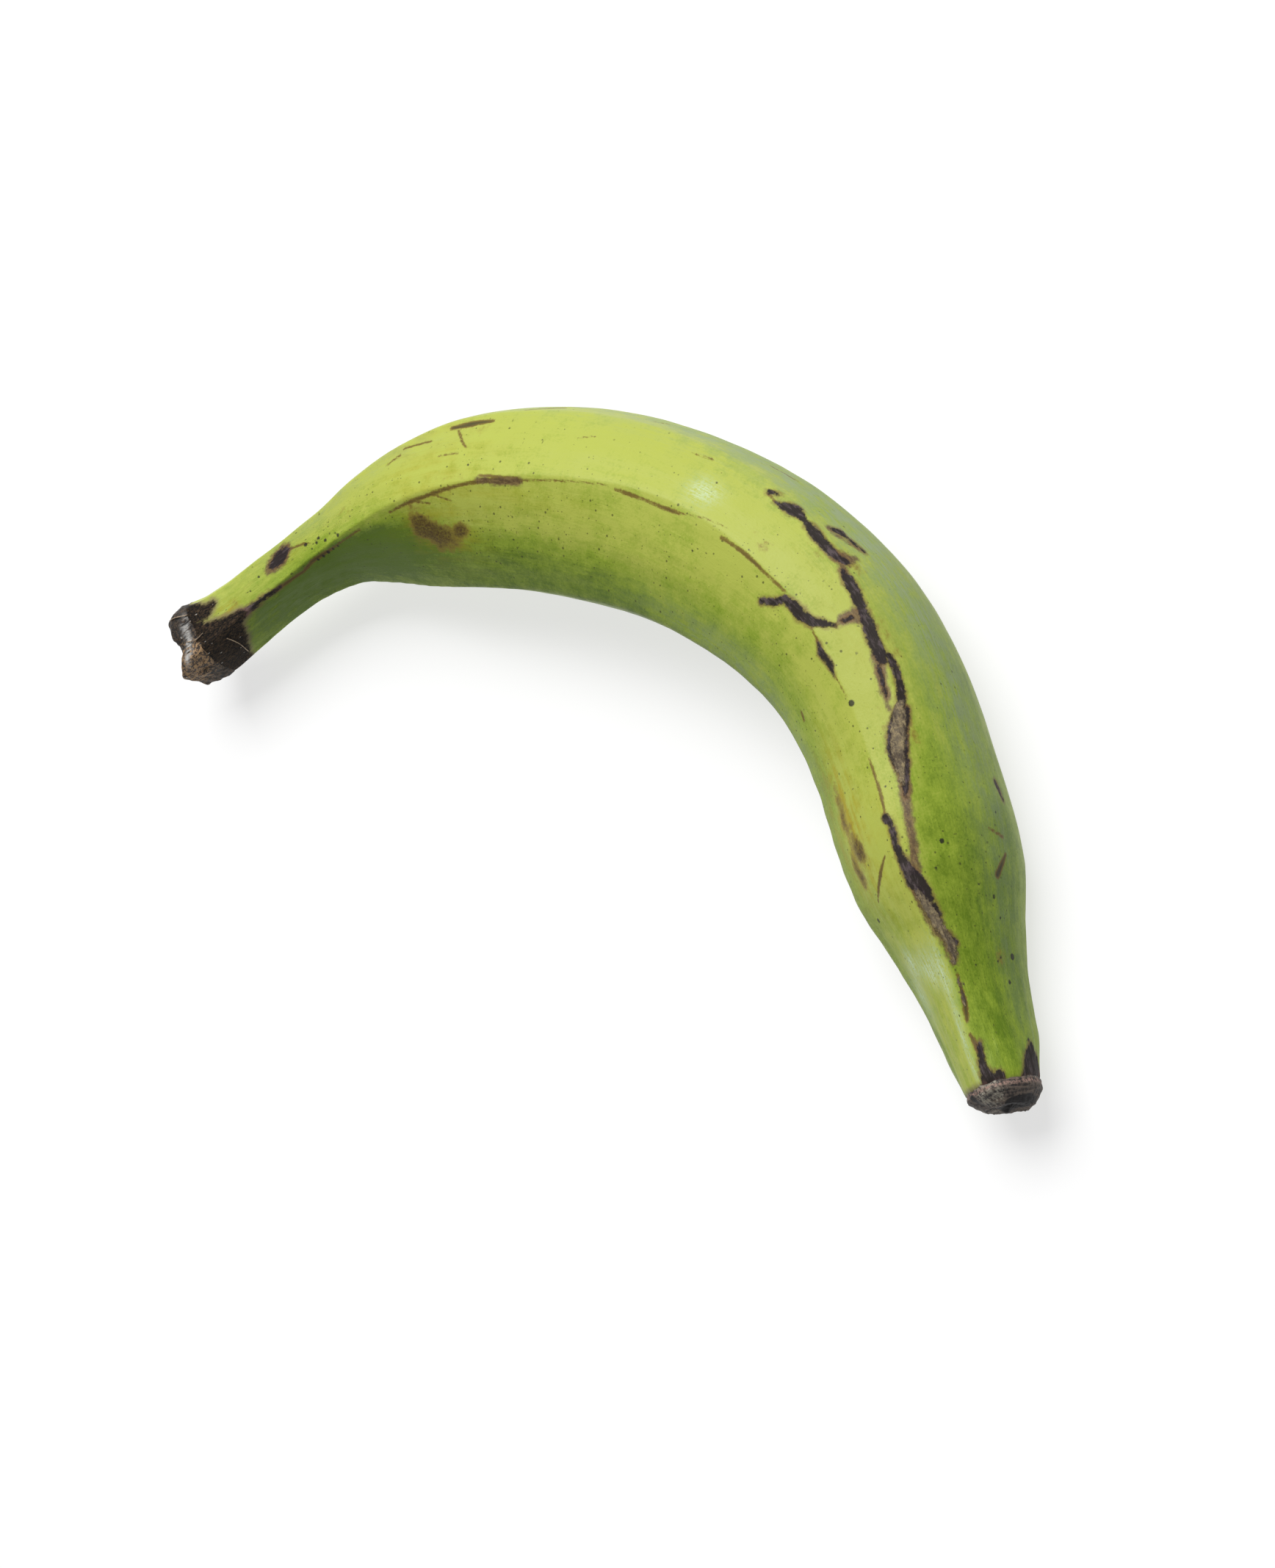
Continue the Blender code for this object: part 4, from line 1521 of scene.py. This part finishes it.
@dataclass
class StemFibres(Piece):
    """The loose dry fibres that lie on the torn end: rows of station, angle in degrees and lift in mm."""

    thickness_mm: float = 0.26
    sides: int = 6
    rings: int = 24
    runs: tuple[Table, ...] = (
        ((13.2, 136, 0.1), (14, 147, 0.5), (14.3, 160, 0.6), (14, 174, 0.5), (13.5, 188, 0.1)),
        ((3, 104, 0.3), (5, 108, 0.6), (7, 110, 0.5), (9, 108, 0.2)),
        ((2, 150, 0.5), (3, 160, 1.0), (5, 168, 0.6)),
        ((1, 60, 0.3), (4, 66, 0.6), (7, 70, 0.2)),
        ((2, 245, 0.4), (5, 250, 0.8), (9, 258, 0.3)),
        ((1, 330, 0.4), (4, 322, 0.7), (8, 318, 0.3)),
    )

    def shape(self) -> Object:
        """Shapes the fibres.

        Returns:
            The piece.
        """
        mesh = bmesh.new()
        for run in self.runs:
            self._strand(mesh, run)
        bmesh.ops.recalc_face_normals(mesh, faces=mesh.faces)
        return as_object("plantain_stem_fibres", mesh)

    def _strand(self, mesh: bmesh.types.BMesh, run: Table) -> None:
        """Extrudes one fibre along its run.

        Args:
            mesh: The mesh it is added to.
            run: Its rows.
        """
        knots = np.linspace(0, 1, len(run))
        at = np.linspace(0, 1, self.rings)
        station, angle, lift = [monotone(tuple(zip(knots, column)), at) for column in zip(*run)]
        path = [Vector(place) for place in self.form.side(station, np.radians(angle), lift)]
        radius = self.thickness_mm * MM / 2
        ring = bmesh.ops.create_circle(mesh, cap_ends=True, segments=self.sides, radius=radius)["verts"]
        spin = (path[1] - path[0]).to_track_quat("Z", "Y")
        bmesh.ops.rotate(mesh, verts=ring, cent=(0, 0, 0), matrix=spin.to_matrix())
        bmesh.ops.translate(mesh, verts=ring, vec=path[0])
        edges = list({edge for vert in ring for edge in vert.link_edges})
        for before, after in zip(path, path[1:]):
            made = bmesh.ops.extrude_edge_only(mesh, edges=edges)["geom"]
            verts = [item for item in made if isinstance(item, bmesh.types.BMVert)]
            edges = [item for item in made if isinstance(item, bmesh.types.BMEdge)]
            bmesh.ops.translate(mesh, verts=verts, vec=after - before)
        bmesh.ops.contextual_create(mesh, geom=edges)


@dataclass
class Studio:
    """The pale floor, the soft light and the camera."""

    eye: tuple[float, float, float] = (0.4682, -0.0654, 0.8109)
    aim: tuple[float, float, float] = (0.0095, -0.0228, 0.0200)
    roll: float = radians(60.36)
    lens_mm: float = 92.74
    sensor_mm: float = 36.0
    far_end: float = 50.0
    floor_size: float = 40.0
    floor_paint: Paint = Paint(142, 142, 142)
    floor_roughness: float = 0.9
    floor_gloss: float = 0.1
    floor_glow: float = 0.7
    white: Paint = Paint(255, 255, 255)
    sky_strength: float = 0.1
    seen_sky_strength: float = 0.72
    softbox_at: tuple[float, float, float] = (-1.2, 1.4, 3.6)
    softbox_size: float = 3.0
    softbox_watts: float = 240.0

    def build(self) -> None:
        """Sets the whole studio up."""
        self._floor()
        self._sky()
        self._softbox()
        self._camera()

    def _floor(self) -> None:
        """Makes the floor, which isn't part of the object."""
        mesh = bmesh.new()
        bmesh.ops.create_grid(mesh, x_segments=2, y_segments=2, size=self.floor_size / 2)
        floor = as_object("floor", mesh)
        material = bpy.data.materials.new("pale floor")
        material.use_nodes = True
        shader = material.node_tree.nodes["Principled BSDF"]
        looks = {
            "Base Color": self.floor_paint.rgba,
            "Roughness": self.floor_roughness,
            "Specular IOR Level": self.floor_gloss,
            "Emission Color": self.white.rgba,
            "Emission Strength": self.floor_glow,
        }
        for name, value in looks.items():
            shader.inputs[name].default_value = value
        floor.data.materials.append(material)

    def _sky(self) -> None:
        """Surrounds the scene with soft white, brighter where only the camera sees it."""
        world = bpy.data.worlds.new("white surroundings")
        world.use_nodes = True
        back = world.node_tree.nodes["Background"]
        back.inputs["Color"].default_value = self.white.rgba
        bench = Bench(world.node_tree)
        seen = bench.node("LightPath", {}).outputs["Is Camera Ray"]
        bench.feed(back.inputs["Strength"], bench.between(seen, self.sky_strength, self.seen_sky_strength))
        bpy.context.scene.world = world

    def _softbox(self) -> None:
        """Hangs a square soft light that faces the fruit."""
        light = bpy.data.lights.new("key softbox", "AREA")
        light.shape = "SQUARE"
        light.size = self.softbox_size
        light.energy = self.softbox_watts
        lamp = bpy.data.objects.new("key softbox", light)
        lamp.location = self.softbox_at
        lamp.rotation_euler = (-Vector(self.softbox_at)).to_track_quat("-Z", "Y").to_euler()
        bpy.context.scene.collection.objects.link(lamp)

    def _camera(self) -> None:
        """Places the camera as the photograph was taken."""
        eye = Vector(self.eye)
        forward = (Vector(self.aim) - eye).normalized()
        level = Vector((0.0, 0.0, 1.0))
        plumb = (level - forward * level.dot(forward)).normalized()
        sideways = forward.cross(plumb)
        up = plumb * cos(self.roll) + sideways * sin(self.roll)
        right = forward.cross(up)
        lens = bpy.data.cameras.new("camera")
        lens.lens = self.lens_mm
        lens.sensor_width = self.sensor_mm
        lens.sensor_fit = "AUTO"
        lens.clip_end = self.far_end
        camera = bpy.data.objects.new("camera", lens)
        camera.matrix_world = Matrix.Translation(eye) @ Matrix((right, up, -forward)).transposed().to_4x4()
        bpy.context.scene.collection.objects.link(camera)
        bpy.context.scene.camera = camera


def dress(piece: Object) -> None:
    """Attaches a piece to the body it rides on, hides the imported node it stands for and logs its
    triangles.

    Args:
        piece: The finished piece.
    """
    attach(piece, BODY)
    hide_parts(NODE)
    piece.data.calc_loop_triangles()
    log.info("%s: %d triangles", piece.name, len(piece.data.loop_triangles))


def main() -> None:
    """Builds the pieces in order, then the studio."""
    logging.basicConfig(level=logging.INFO, format="%(name)s: %(message)s")
    shared = SharedGroups()
    form = FruitForm()
    dress(Peel(form, PeelMarks()).build(PeelFinish(), shared))
    dress(StemEnd(form).build(TornStemFinish(), shared))
    dress(TipCap(form).build(TipCapFinish(), shared))
    dress(StemFibres(form).build(FibreFinish(), shared))
    Studio().build()
    bpy.context.scene.view_settings.view_transform = "Standard"


if __name__ == "__main__":
    main()
